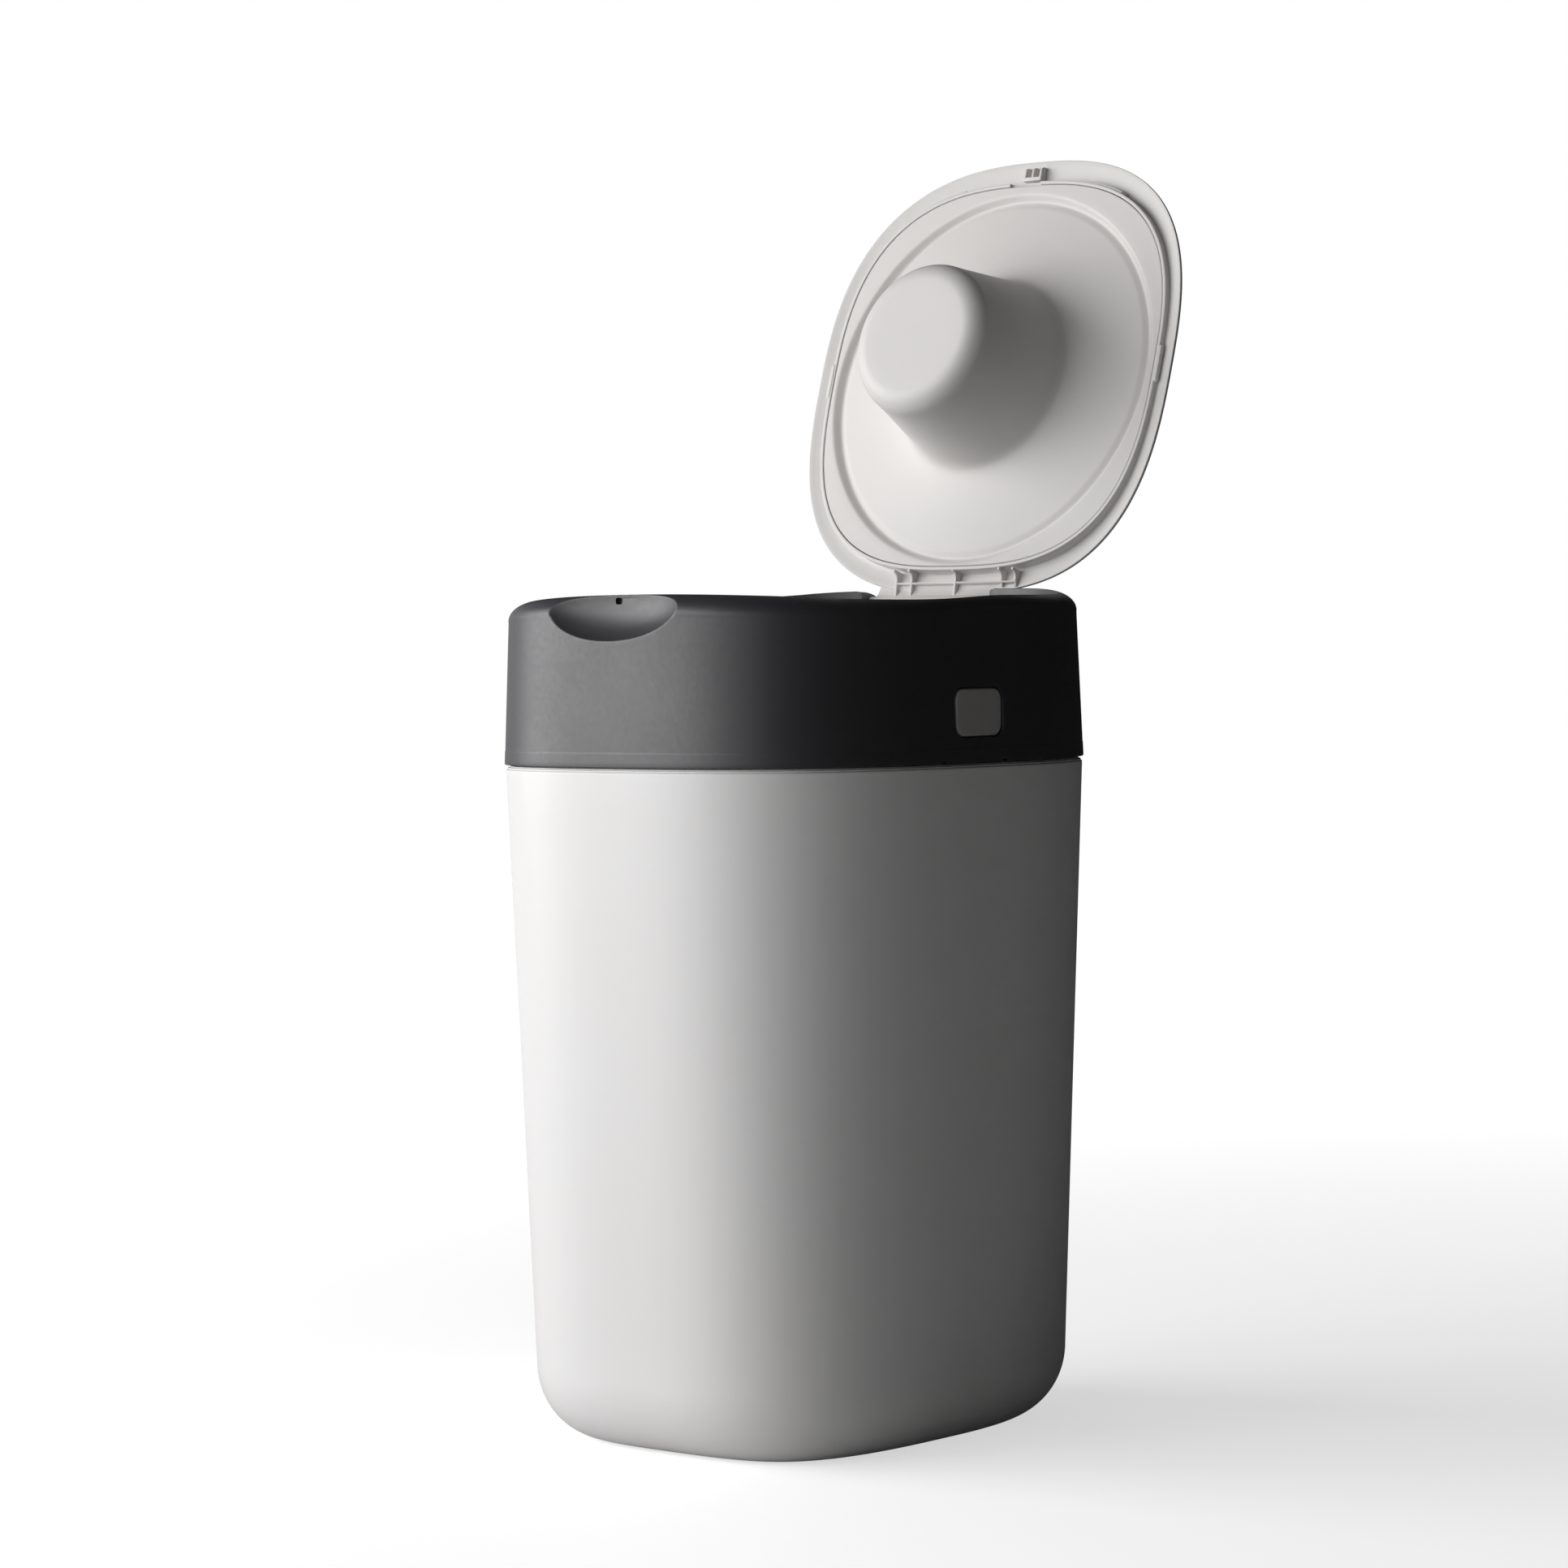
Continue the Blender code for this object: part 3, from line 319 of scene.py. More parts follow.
# --------------------------------------------------------------- materials
def plastic(name, rgb, rough, grain=0.5, grain_size=0.00045, wave=0.25, tint=None, worn=None, specular=0.5,
            sub=0.0, spread=0.03):
    """Moulded plastic: a fine spark-eroded grain, a slow sink-mark ripple,
    drifting gloss and colour, and edges rubbed a little lighter."""
    m = bpy.data.materials.new(name)
    m.use_nodes = True
    nt = m.node_tree
    n, link = nt.nodes, nt.links.new
    b = n["Principled BSDF"]
    b.inputs["IOR"].default_value = 1.49
    b.inputs["Specular IOR Level"].default_value = specular
    if sub:
        b.inputs["Subsurface Weight"].default_value = sub
        b.inputs["Subsurface Radius"].default_value = (0.004, 0.0036, 0.003)
        b.inputs["Subsurface Scale"].default_value = 1.0
    tc = n.new("ShaderNodeTexCoord")

    def noise(scale, detail, rough_=0.5, vec=None):
        t = n.new("ShaderNodeTexNoise")
        t.inputs["Scale"].default_value = scale
        t.inputs["Detail"].default_value = detail
        t.inputs["Roughness"].default_value = rough_
        link(vec or tc.outputs["Object"], t.inputs["Vector"])
        return t.outputs["Fac"]

    def span(src, lo, hi, f0=0.3, f1=0.7):
        r = n.new("ShaderNodeMapRange")
        r.inputs["From Min"].default_value, r.inputs["From Max"].default_value = f0, f1
        r.inputs["To Min"].default_value, r.inputs["To Max"].default_value = lo, hi
        link(src, r.inputs["Value"])
        return r.outputs["Result"]

    def math_node(op, a, b_):
        t = n.new("ShaderNodeMath")
        t.operation = op
        for k, v in enumerate((a, b_)):
            if isinstance(v, (int, float)):
                t.inputs[k].default_value = v
            else:
                link(v, t.inputs[k])
        return t.outputs[0]

    # colour: a slow drift of the pigment, and lighter worn edges
    ramp = n.new("ShaderNodeMix")
    ramp.data_type = "RGBA"
    other = tint or tuple(c * (1 - spread) for c in rgb)
    ramp.inputs["A"].default_value = (*rgb, 1.0)
    ramp.inputs["B"].default_value = (*other, 1.0)
    link(span(noise(7.0, 3.0), 0.0, 1.0), ramp.inputs["Factor"])
    colour = ramp.outputs["Result"]
    geo = n.new("ShaderNodeNewGeometry")
    if worn:
        edge = span(geo.outputs["Pointiness"], 0.0, 1.0, 0.53, 0.60)
        patch = span(noise(60.0, 4.0), 0.0, 1.0, 0.42, 0.62)
        rub = math_node("MULTIPLY", math_node("MULTIPLY", edge, patch), worn[1])
        wear = n.new("ShaderNodeMix")
        wear.data_type = "RGBA"
        link(rub, wear.inputs["Factor"])
        link(colour, wear.inputs["A"])
        wear.inputs["B"].default_value = (*worn[0], 1.0)
        colour = wear.outputs["Result"]
    link(colour, b.inputs["Base Color"])

    # gloss: handling marks at two sizes
    r1 = span(noise(11.0, 4.0), -0.05, 0.05)
    r2 = span(noise(420.0, 2.0), -0.03, 0.03)
    total = math_node("ADD", math_node("ADD", r1, r2), rough)
    link(total, b.inputs["Roughness"])

    # relief: grain, then the slow ripple
    g = noise(1.0 / grain_size, 2.0, 0.6)
    bump = n.new("ShaderNodeBump")
    bump.inputs["Strength"].default_value = grain
    bump.inputs["Distance"].default_value = 0.00003
    link(g, bump.inputs["Height"])
    slow = n.new("ShaderNodeBump")
    slow.inputs["Strength"].default_value = wave
    slow.inputs["Distance"].default_value = 0.0004
    link(noise(22.0, 1.0), slow.inputs["Height"])
    link(slow.outputs["Normal"], bump.inputs["Normal"])
    link(bump.outputs["Normal"], b.inputs["Normal"])
    return m


def metal(name, rgb, rough, axis=0):
    """Drawn steel with fine lines along its length."""
    m = bpy.data.materials.new(name)
    m.use_nodes = True
    nt = m.node_tree
    n, link = nt.nodes, nt.links.new
    b = n["Principled BSDF"]
    b.inputs["Metallic"].default_value = 1.0
    tc = n.new("ShaderNodeTexCoord")
    mp = n.new("ShaderNodeMapping")
    s = [2200.0, 2200.0, 2200.0]
    s[axis] = 90.0
    mp.inputs["Scale"].default_value = s
    link(tc.outputs["Object"], mp.inputs["Vector"])
    t = n.new("ShaderNodeTexNoise")
    t.inputs["Scale"].default_value = 1.0
    t.inputs["Detail"].default_value = 3.0
    link(mp.outputs["Vector"], t.inputs["Vector"])
    r = n.new("ShaderNodeMapRange")
    r.inputs["From Min"].default_value, r.inputs["From Max"].default_value = 0.3, 0.7
    r.inputs["To Min"].default_value, r.inputs["To Max"].default_value = rough - 0.07, rough + 0.09
    link(t.outputs["Fac"], r.inputs["Value"])
    link(r.outputs["Result"], b.inputs["Roughness"])
    c = n.new("ShaderNodeMix")
    c.data_type = "RGBA"
    c.inputs["A"].default_value = (*rgb, 1.0)
    c.inputs["B"].default_value = (*(v * 0.82 for v in rgb), 1.0)
    link(t.outputs["Fac"], c.inputs["Factor"])
    link(c.outputs["Result"], b.inputs["Base Color"])
    bump = n.new("ShaderNodeBump")
    bump.inputs["Strength"].default_value = 0.25
    bump.inputs["Distance"].default_value = 0.00002
    link(t.outputs["Fac"], bump.inputs["Height"])
    link(bump.outputs["Normal"], b.inputs["Normal"])
    return m


M_TUB = plastic("tub_white_satin", (0.83, 0.82, 0.82), 0.42, grain=0.30, grain_size=0.0005, wave=0.05,
                tint=(0.82, 0.808, 0.80), worn=((0.74, 0.72, 0.69), 0.25))
M_CASE = plastic("casing_grey_fine_texture", (0.040, 0.039, 0.046), 0.48, grain=0.65, grain_size=0.00042,
                 wave=0.03, tint=(0.037, 0.036, 0.042), worn=((0.10, 0.10, 0.105), 0.4), specular=1.0)
M_COVER = plastic("lid_cover_white_satin", (0.77, 0.75, 0.735), 0.45, grain=0.35, wave=0.06,
                  tint=(0.765, 0.75, 0.73), worn=((0.70, 0.68, 0.64), 0.25))
M_LINER = plastic("lid_liner_white_satin", (0.76, 0.738, 0.722), 0.46, grain=0.35, wave=0.06,
                  tint=(0.755, 0.733, 0.712))
M_BUTTON = plastic("button_light_grey", (0.44, 0.43, 0.42), 0.48, grain=0.5, wave=0.1,
                   worn=((0.56, 0.55, 0.54), 0.5))
M_RING = plastic("twist_ring_white", (0.78, 0.77, 0.76), 0.38, grain=0.25, wave=0.2)
M_CASS = plastic("cassette_teal", (0.10, 0.42, 0.44), 0.38, grain=0.3, wave=0.2, worn=((0.22, 0.55, 0.56), 0.4))
M_CAP = plastic("cassette_cap_white", (0.80, 0.80, 0.79), 0.40, grain=0.3, wave=0.2)
M_FILM = plastic("film_pack_pleated", (0.55, 0.72, 0.74), 0.30, grain=0.2, wave=0.6, spread=0.12)
M_HOUSE = plastic("housing_grey", (0.13, 0.13, 0.135), 0.52, grain=0.5, wave=0.2, worn=((0.2, 0.2, 0.205), 0.5))
M_SOFT = plastic("finger_rubber", (0.20, 0.20, 0.21), 0.72, grain=0.6, grain_size=0.0006, wave=0.3, specular=0.35)
M_MECH = plastic("mechanism_white", (0.62, 0.62, 0.61), 0.42, grain=0.3, wave=0.2, worn=((0.7, 0.7, 0.69), 0.3))
M_STEEL = metal("drawn_steel", (0.55, 0.55, 0.56), 0.28, 1)
M_CUTTER = plastic("cutter_orange", (0.70, 0.24, 0.06), 0.42, grain=0.35, wave=0.2, worn=((0.80, 0.40, 0.20), 0.4))


# --------------------------------------------------------------------- tub
def tub_off(z):
    return -TUB_TAPER * (SHOULDER_Z - z)


def knuckle_profile(up, r=KNUCKLE_R, per=28):
    cx, cz = SIDE_AXIS_X, SIDE_AXIS_Z
    pts = []
    for k in range(per + 1):
        a = math.radians(235 * k / per)
        pts.append((cx + r * math.cos(a), cz + (-1 if up else 1) * r * math.sin(a)))
    if up:
        return pts + [(-0.1143, 0.3300), (-0.1143, 0.3174), (-0.1171, 0.3174)]
    return pts + [(-0.1136, 0.3010), (-0.1136, 0.3144), (-0.1171, 0.3144)]


def build_tub():
    low = tub_off(TUB_FILLET_V) - TUB_FILLET_H
    rings = [at(body(low - 0.0075), 0.0008), at(body(low - 0.0066), 0.0007), at(body(low - 0.0058), 0.0002),
             at(body(low - 0.0052), 0.0)]
    for deg in np.linspace(90, 0, 25):
        q = math.radians(deg)
        rings.append(at(body(tub_off(TUB_FILLET_V) - TUB_FILLET_H * (1 - math.cos(q))),
                        TUB_FILLET_V * (1 - math.sin(q))))
    top = SHOULDER_Z
    for z in np.linspace(0.055, top - 0.0012, 14):
        rings.append(at(body(tub_off(z)), z))
    for off, z in ((-0.00006, -0.0004), (-0.00012, -0.0002), (-0.0003, -0.00005), (-0.0006, 0.0),
                   (-0.0011, 0.00002), (-0.0011, 0.00025), (-0.00075, 0.00028), (-0.0007, 0.00034),
                   (-0.0007, 0.00075), (-0.0008, 0.00086), (-0.0010, 0.0009), (-0.0018, 0.0009),
                   (-0.0019, 0.00095), (-0.0019, 0.0015), (-0.0020, 0.0016),
                   (-SPIGOT_INSET + 0.0003, 0.0016), (-SPIGOT_INSET, 0.0019)):
        rings.append(at(body(off), top + z))
    si, st = -SPIGOT_INSET, SPIGOT_TOP
    for off, z in ((si, st - 0.0005), (si - 0.00015, st - 0.00015), (si - 0.0005, st), (si - 0.0017, st),
                   (si - 0.00205, st - 0.00015), (si - 0.0022, st - 0.0005), (si - 0.0022, 0.3080)):
        rings.append(at(body(off), z))
    for k in np.linspace(0.2, 1.0, 5):
        s = k * k * (3 - 2 * k)
        rings.append(at(body(mix(si - 0.0022, tub_off(0.3030) - TUB_WALL, s)), mix(0.3080, 0.3030, k)))
    for z in np.linspace(0.28, 0.06, 8):
        rings.append(at(body(tub_off(z) - TUB_WALL), z))
    for deg in np.linspace(0, 90, 19):
        q = math.radians(deg)
        rings.append(at(body(tub_off(TUB_FILLET_V) - TUB_WALL - (TUB_FILLET_H - 0.001) * (1 - math.cos(q))),
                        0.0030 + (TUB_FILLET_V - 0.0030) * (1 - math.sin(q))))
    bm = loft(rings)
    bm = boolean(bm, [prism(knuckle_profile(False), "y", y0, y1, 0.0004) for y0, y1 in
                      ((-0.0280, -0.0138), (0.0138, 0.0280))], "UNION")
    return boolean(bm, [box(0.1040, 0.1125, BUTTON_Y - 0.0215, BUTTON_Y + 0.0215, 0.3105, 0.3300),
                        rod("y", (SIDE_AXIS_X, SIDE_AXIS_Z), SIDE_PIN_R + 0.0004, -0.0300, 0.0300)], "DIFFERENCE")


make("tub_shell", build_tub(), M_TUB, "tub_body", ["tub"])
make("side_hinge_pin_fine", rod("y", (SIDE_AXIS_X, SIDE_AXIS_Z), SIDE_PIN_R, -0.0276, 0.0276, 24, 0.0003), M_STEEL,
     "tub_body", ["side_hinge_pin"])


# ------------------------------------------------------------------ casing
def case_off(z):
    return CASE_PROUD - CASE_TAPER * (z - SHOULDER_Z)


def top_plane(x, y):
    z = RIM_FRONT_Z + (RIM_REAR_Z - RIM_FRONT_Z) * (y + 0.130) / 0.235
    back = RIM_REAR_Z - 0.20 * (y - 0.105)
    # the two planes meet in a soft bend
    z = np.where(y > 0.095, -0.0008 * np.logaddexp(-z / 0.0008, -back / 0.0008), z)
    return z - RIM_SIDE_DROP * (x / 0.110) ** 2 * np.minimum(1.0, np.abs(y) / 0.090) ** 1.5


def rim_height(x, y, d):
    u = np.clip(1.0 - d / CASE_FILLET_H, 0.0, 1.0)
    return top_plane(x, y) - CASE_FILLET_V * (1.0 - (1.0 - u ** 2.2) ** (1.0 / 2.2))


def in_recess(x, y):
    s = y - LID_YC
    back = s > 0
    q = np.where(back, LID_B + RECESS_GAP_REAR, LID_F + RECESS_GAP)
    e = np.where(back, LID_NB, LID_NF)
    return np.abs(x / (LID_A + RECESS_GAP)) ** e + np.abs(s / q) ** e < 1.0


def scoop_out(p, k=0.00045):
    """Outer-surface points inside the scoop's hollow, slid inwards and down
    on to its wall, with a softly rounded edge."""
    dx, dy, dz = (p[:, i] - SCOOP[i] for i in range(3))
    rx, ry, rz = SCOOP_R
    w = math.sqrt(0.5)
    c0 = (dx / rx) ** 2 + (dy / ry) ** 2 + (dz / rz) ** 2 - 1.0
    a = (w / ry) ** 2 + (w / rz) ** 2
    b = (dy / ry) * (w / ry) - (dz / rz) * (w / rz)
    disc = b * b - a * c0
    root = np.sqrt(np.maximum(disc, 0.0))
    h = np.where(disc > 0, (-b + root) / a, -1.0)
    h = np.where((c0 > 0) & (h > 0), -1.0, h)
    move = 0.5 * (h + np.sqrt(h * h + k * k))
    move = np.where(h < -0.004, 0.0, move)
    out = p.copy()
    out[:, 1] += move * w
    out[:, 2] -= move * w
    return out


def scoop_back(p, grow=0.0022, k=0.0004):
    """Inner-surface points pushed back clear of the scoop's wall."""
    rx, ry, rz = (r + grow for r in SCOOP_R)
    g = 1.0 - ((p[:, 0] - SCOOP[0]) / rx) ** 2 - ((p[:, 2] - SCOOP[2]) / rz) ** 2
    limit = np.where(g > 0, SCOOP[1] + ry * np.sqrt(np.maximum(g, 0.0)), -1.0)
    h = limit - p[:, 1]
    out = p.copy()
    out[:, 1] += np.where(h > -0.004, 0.5 * (h + np.sqrt(h * h + k * k)), 0.0)
    return out


def ring_normals(t):
    p0 = outline(BODY_A, BODY_F, BODY_B, BODY_NF, BODY_NB, 0.0, 0.0, t)
    p1 = outline(BODY_A, BODY_F, BODY_B, BODY_NF, BODY_NB, 0.001, 0.0, t)
    return (p1 - p0) / 0.001


def wall_x(y, z):
    """The casing's outer face on the button's side."""
    off = case_off(z)
    return (BODY_A + off) * (1 - (np.abs(y) / (BODY_F + off)) ** BODY_NF) ** (1 / BODY_NF)


def build_casing():
    t = CASE_T
    start = body(case_off(0.384), t)
    nrm = ring_normals(t)
    lo, hi = np.zeros(len(t)), np.full(len(t), 0.05)
    for _ in range(40):
        mid = (lo + hi) / 2
        inside = in_recess(start[:, 0] - nrm[:, 0] * mid, start[:, 1] - nrm[:, 1] * mid)
        hi = np.where(inside, mid, hi)
        lo = np.where(inside, lo, mid)
    depth = hi

    def inward(d):
        d = np.broadcast_to(d, (len(t),))
        return start - nrm * d[:, None]

    zr = rim_height(start[:, 0], start[:, 1], 0.0)
    rings = [at(body(0.0001, t), CASE_BOTTOM), at(body(0.00042, t), CASE_BOTTOM + 0.00006),
             at(body(0.00062, t), CASE_BOTTOM + 0.00025)]
    up = [0.0, 0.03, 0.060, 0.080, 0.0860, 0.0885, 0.0910, 0.0935, 0.0965, 0.105, 0.13]
    up += list(np.linspace(0.18, 0.735, 12)) + list(np.linspace(0.75, 0.994, 36))
    for g in up:
        step = 0.00013 * np.clip((g - 0.0860) / 0.0075, 0.0, 1.0)
        off = mix(case_off(0.3176), case_off(0.384), g) - step
        z = mix(0.3176, zr, g)
        rings.append(scoop_out(at(body(off, t), z)))
    shares = [(j / 42.0) ** 2.2 for j in range(3, 38)]
    shares += list(np.linspace(shares[-1], 1.0, 12)[1:])
    r = 0.00055
    for s in shares:
        d = s * (depth - r)
        p = inward(d)
        rings.append(scoop_out(at(p, rim_height(p[:, 0], p[:, 1], d))))
    land = inward(depth)
    zl = rim_height(land[:, 0], land[:, 1], depth)
    for a in (30, 60, 90):
        a = math.radians(a)
        p = inward(depth - r * (1 - math.sin(a)))
        rings.append(at(p, zl - r * (1 - math.cos(a))))
    rings.append(at(land, mix(zl - r, DECK_TOP + 0.0009, 0.5)))
    for a in (0, 30, 60, 90):
        a = math.radians(a)
        p = inward(depth + 0.0009 * (1 - math.cos(a)))
        rings.append(at(p, DECK_TOP + 0.0009 * (1 - math.sin(a))))
    edge = inward(depth + 0.0009)
    ang = np.arctan2(edge[:, 1] - RING_Y, edge[:, 0])

    def hole(rad):
        return np.stack([rad * np.cos(ang), RING_Y + rad * np.sin(ang)], 1)

    for k in (0.25, 0.5, 0.75):
        rings.append(at(mix(edge, hole(DECK_HOLE_R), k), DECK_TOP))
    for a in (0, 30, 60, 90):
        a = math.radians(a)
        rings.append(at(hole(DECK_HOLE_R + 0.0005 * (1 - math.sin(a))), DECK_TOP - 0.0005 * (1 - math.cos(a))))
    rings.append(at(hole(DECK_HOLE_R), DECK_BOTTOM))
    inner = body(case_off(DECK_BOTTOM) - CASE_WALL, t)
    for k in (0.3, 0.6, 0.85):
        rings.append(scoop_back(at(mix(hole(DECK_HOLE_R), inner, k), DECK_BOTTOM)))
    for z in list(np.linspace(DECK_BOTTOM, 0.3705, 20)) + list(np.linspace(0.365, 0.3176, 9)):
        rings.append(scoop_back(at(body(case_off(z) - CASE_WALL, t), z)))
    rings.append(at(body(case_off(CASE_BOTTOM) - CASE_WALL + 0.0002, t), CASE_BOTTOM + 0.0001))
    rings.append(at(body(case_off(CASE_BOTTOM) - CASE_WALL + 0.0005, t), CASE_BOTTOM))
    bm = loft(rings, loop=True)

    adds = [rod("z", c, 0.0040, 0.3742, 0.3822, 40, 0.0003) for c in SCREWS]
    adds.append(prism(knuckle_profile(True), "y", -0.0134, 0.0134, 0.0004))
    adds.append(box(-0.0092, -0.0032, -0.1257, -0.1234, 0.3840, 0.3946, 0.0003))
    bm = boolean(bm, adds, "UNION")

    # hinge notch: its side walls roll over at the top
    def notch_profile():
        x0, x1, r2 = NOTCH_X0, NOTCH_X1, 0.0016
        z_top = 0.3974
        pts = [(x0, NOTCH_FLOOR + 0.0008), (x1, NOTCH_FLOOR + 0.0008)]
        for k in range(9):
            a = math.radians(90 * k / 8)
            pts.append((x1 + r2 * (1 - math.cos(a)), z_top - r2 + r2 * math.sin(a)))
        pts += [(x1 + r2 + 0.0012, z_top + 0.0001), (x1 + r2 + 0.0012, 0.4100), (x0 - 0.0040, 0.4100),
                (x0 - 0.0040, z_top + 0.0005), (x0 - 0.0030, z_top - 0.0001)]
        for k in range(9):
            a = math.radians(90 * (8 - k) / 8)
            pts.append((x0 - 0.0020 * (1 - math.cos(a)), z_top - 0.0022 + 0.0020 * math.sin(a)))
        return pts

    cuts = [prism(notch_profile(), "y", NOTCH_Y0, NOTCH_Y1)]
    # blind face of the latch slot
    outer = rounded_rect(-0.0012, 0.3926, 0.0134, 0.0029, 0.0008, 8)
    face = [(x, -0.12572 - 0.00080 * (x + 0.0079) / 0.0134 + 0.10 * (z - 0.3926), z) for x, z in outer]
    cuts.append(loft([[(x, -0.1300, z) for x, z in outer], face]))
    # opening for the button, with a rolled edge
    rings = []
    for depth_in, grow in [(-0.0012, 0.0011), (0.0, 0.00060), (0.0001, 0.00035), (0.00025, 0.00016),
                           (0.00042, 0.00005), (0.0006, 0.0), (0.0060, 0.0)]:
        pts = rounded_rect(BUTTON_Y, BUTTON_Z, BUTTON_W + 0.0014 + 2 * grow, BUTTON_H + 0.0014 + 2 * grow,
                           0.0060 + grow, 12)
        rings.append([(float(wall_x(y, z)) - 0.00013 - depth_in, y, z) for y, z in pts])
    cuts.append(loft(rings))
    for s in (-1, 1):
        mid = BUTTON_Y - 0.0042 + s * 0.0217
        cuts.append(box(0.1110, 0.1180, mid - 0.0017, mid + 0.0017, 0.3160, 0.3182))
    for side, x0, x1 in ((-1, 0.0560, 0.0770), (1, 0.0345, 0.0550), (1, 0.0575, 0.0770)):
        cuts.append(pocket(side, x0, x1))
    for cx, cy in SCREWS:
        cuts.append(rod("z", (cx, cy), 0.0018, 0.3700, 0.3800, 24))
    cuts.append(rod("y", (SIDE_AXIS_X, SIDE_AXIS_Z), SIDE_PIN_R + 0.0004, -0.0200, 0.0200))
    bm = boolean(bm, cuts, "DIFFERENCE")
    return boolean(bm, [
        rod("x", (LID_AXIS_Y, LID_AXIS_Z), 0.0019, NOTCH_X0 - 0.0060, NOTCH_X1 + 0.0060),
        prism(rounded_rect(-0.0062, 0.3926, 0.0036, 0.0031, 0.0012, 8), "y", -0.1300, -0.1239)], "DIFFERENCE")


def pocket(side, x0, x1):
    pts = []
    a, b = BODY_A + case_off(0.388), BODY_B + case_off(0.388)
    la, lb = LID_A + RECESS_GAP, LID_B + RECESS_GAP_REAR
    for x in np.linspace(x0, x1, 8):
        pts.append((side * x, LID_YC + lb * (1 - (x / la) ** LID_NB) ** (1 / LID_NB) + 0.0028))
    for x in np.linspace(x1, x0, 8):
        pts.append((side * x, b * (1 - (x / a) ** BODY_NB) ** (1 / BODY_NB) - 0.0034))
    return prism(pts, "z", 0.3700, 0.3905)


SCREWS = [(0.0985 * math.cos(math.radians(a)), RING_Y + 0.0985 * math.sin(math.radians(a)))
          for a in (45, 135, 225, 315)]
make("casing_shell", build_casing(), M_CASE, "upper_unit", ["casing"])
make("lid_hinge_pin_fine", rod("x", (LID_AXIS_Y, LID_AXIS_Z), 0.0015, NOTCH_X0 - 0.0055, NOTCH_X1 + 0.0055, 24,
                               0.0003), M_STEEL, "upper_unit", ["lid_hinge_pin"])


# --------------------------------------------------- mechanism under the lid
def build_housing():
    bm = turned(rounded([
        (0.1030, 0.3712), (0.1030, 0.3734), (0.0906, 0.3734), (0.0906, 0.3352), (0.0612, 0.3352),
        (0.0590, 0.3330), (0.0590, 0.3068), (0.0555, 0.3068), (0.0555, 0.3050), (0.0612, 0.3050),
        (0.0612, 0.3330), (0.0926, 0.3330), (0.0926, 0.3712)], 0.0006))
    y0 = -0.1220
    bm = boolean(bm, [box(-0.0056, 0.0056, y0, RING_Y - 0.0912, 0.3444, 0.3556, 0.0003)], "UNION")
    cuts = [rod("z", c, 0.0020, 0.3690, 0.3760, 24) for c in SCREWS]
    cuts.append(box(-0.0038, 0.0038, y0 - 0.002, RING_Y - 0.0880, 0.3462, 0.3538))
    return boolean(bm, cuts, "DIFFERENCE")


make("ring_housing_fine", build_housing(), M_HOUSE, "upper_unit", ["ring_housing"])


def build_screw(cx, cy):
    rings = []
    for r, z in ((0.0002, 0.3686), (0.0022, 0.3686), (0.0027, 0.36872), (0.0030, 0.3690), (0.0030, 0.3706),
                 (0.0028, 0.3709), (0.0014, 0.3709)):
        rings.append(at(circle(r, cy, 32, cx), z))
    z = 0.3713
    while z < 0.3784:
        for dr, dz in ((0.0, 0.0), (-0.00028, 0.00025), (-0.00028, 0.0004), (0.0, 0.00062)):
            rings.append(at(circle(0.0014 + dr, cy, 32, cx), z + dz))
        z += 0.0007
    rings.append(at(circle(0.0004, cy, 32, cx), 0.3791))
    bm = loft(rings)
    return boolean(bm, [box(cx - 0.0017, cx + 0.0017, cy - 0.0004, cy + 0.0004, 0.3680, 0.3697)], "DIFFERENCE")


for k, (cx, cy) in enumerate(SCREWS):
    bm = build_screw(cx, cy)
    bm = boolean(bm, [box(cx - 0.0004, cx + 0.0004, cy - 0.0017, cy + 0.0017, 0.3680, 0.3697)], "DIFFERENCE")
    make("housing_screw_%d_fine" % (k + 1), bm, M_STEEL, "upper_unit", ["housing_screw_%d" % (k + 1)])

PETALS = 10


def petal_ring(z_shift, inset=0.0, n=400):
    """Outline of the slotted inner edge: flat petals with narrow gaps."""
    out = []
    for k in range(n):
        a = 2 * math.pi * k / n
        step = (a / (2 * math.pi) * PETALS) % 1.0
        # gap centred on step 0: its half width is a share of the pitch
        d = min(step, 1 - step)
        r = 0.0470 if d < 0.045 + inset else 0.0180 + inset * 0.02
        if 0.045 + inset <= d < 0.075 + inset:
            r = 0.0180 + 0.0016 * (1 - (d - 0.045 - inset) / 0.030)
        z = 0.3082 - (0.0480 - r) * 0.38
        out.append((r * math.cos(a), RING_Y + r * math.sin(a), z + z_shift))
    return out


def build_fingers():
    n = 400
    rings = [at(circle(0.0586, RING_Y, n), 0.3073), at(circle(0.0586, RING_Y, n), 0.3095),
             at(circle(0.0582, RING_Y, n), 0.3096), at(circle(0.0494, RING_Y, n), 0.3096),
             at(circle(0.0487, RING_Y, n), 0.3094)]
    rings += [petal_ring(0.0010), petal_ring(-0.0004), at(circle(0.0487, RING_Y, n), 0.3074),
              at(circle(0.0494, RING_Y, n), 0.3072), at(circle(0.0582, RING_Y, n), 0.3072)]
    return loft(rings, loop=True)


make("grip_fingers_fine", build_fingers(), M_SOFT, "upper_unit", ["grip_fingers"], 25.0)

for name, at_y in (("button_spring_1", BUTTON_Y - 0.0105), ("button_spring_2", BUTTON_Y + 0.0105)):
    o = make(name + "_fine", coil("x", (at_y, BUTTON_Z), 0.0986, 0.1077, 0.0026, 0.0004, 5), M_STEEL, "upper_unit",
             [name])
    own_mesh(o)
o = make("pawl_spring_fine", coil("y", (0.0, 0.3500), -0.1204, -0.1124, 0.0022, 0.0003, 5), M_STEEL, "upper_unit",
         ["pawl_spring"])
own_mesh(o)


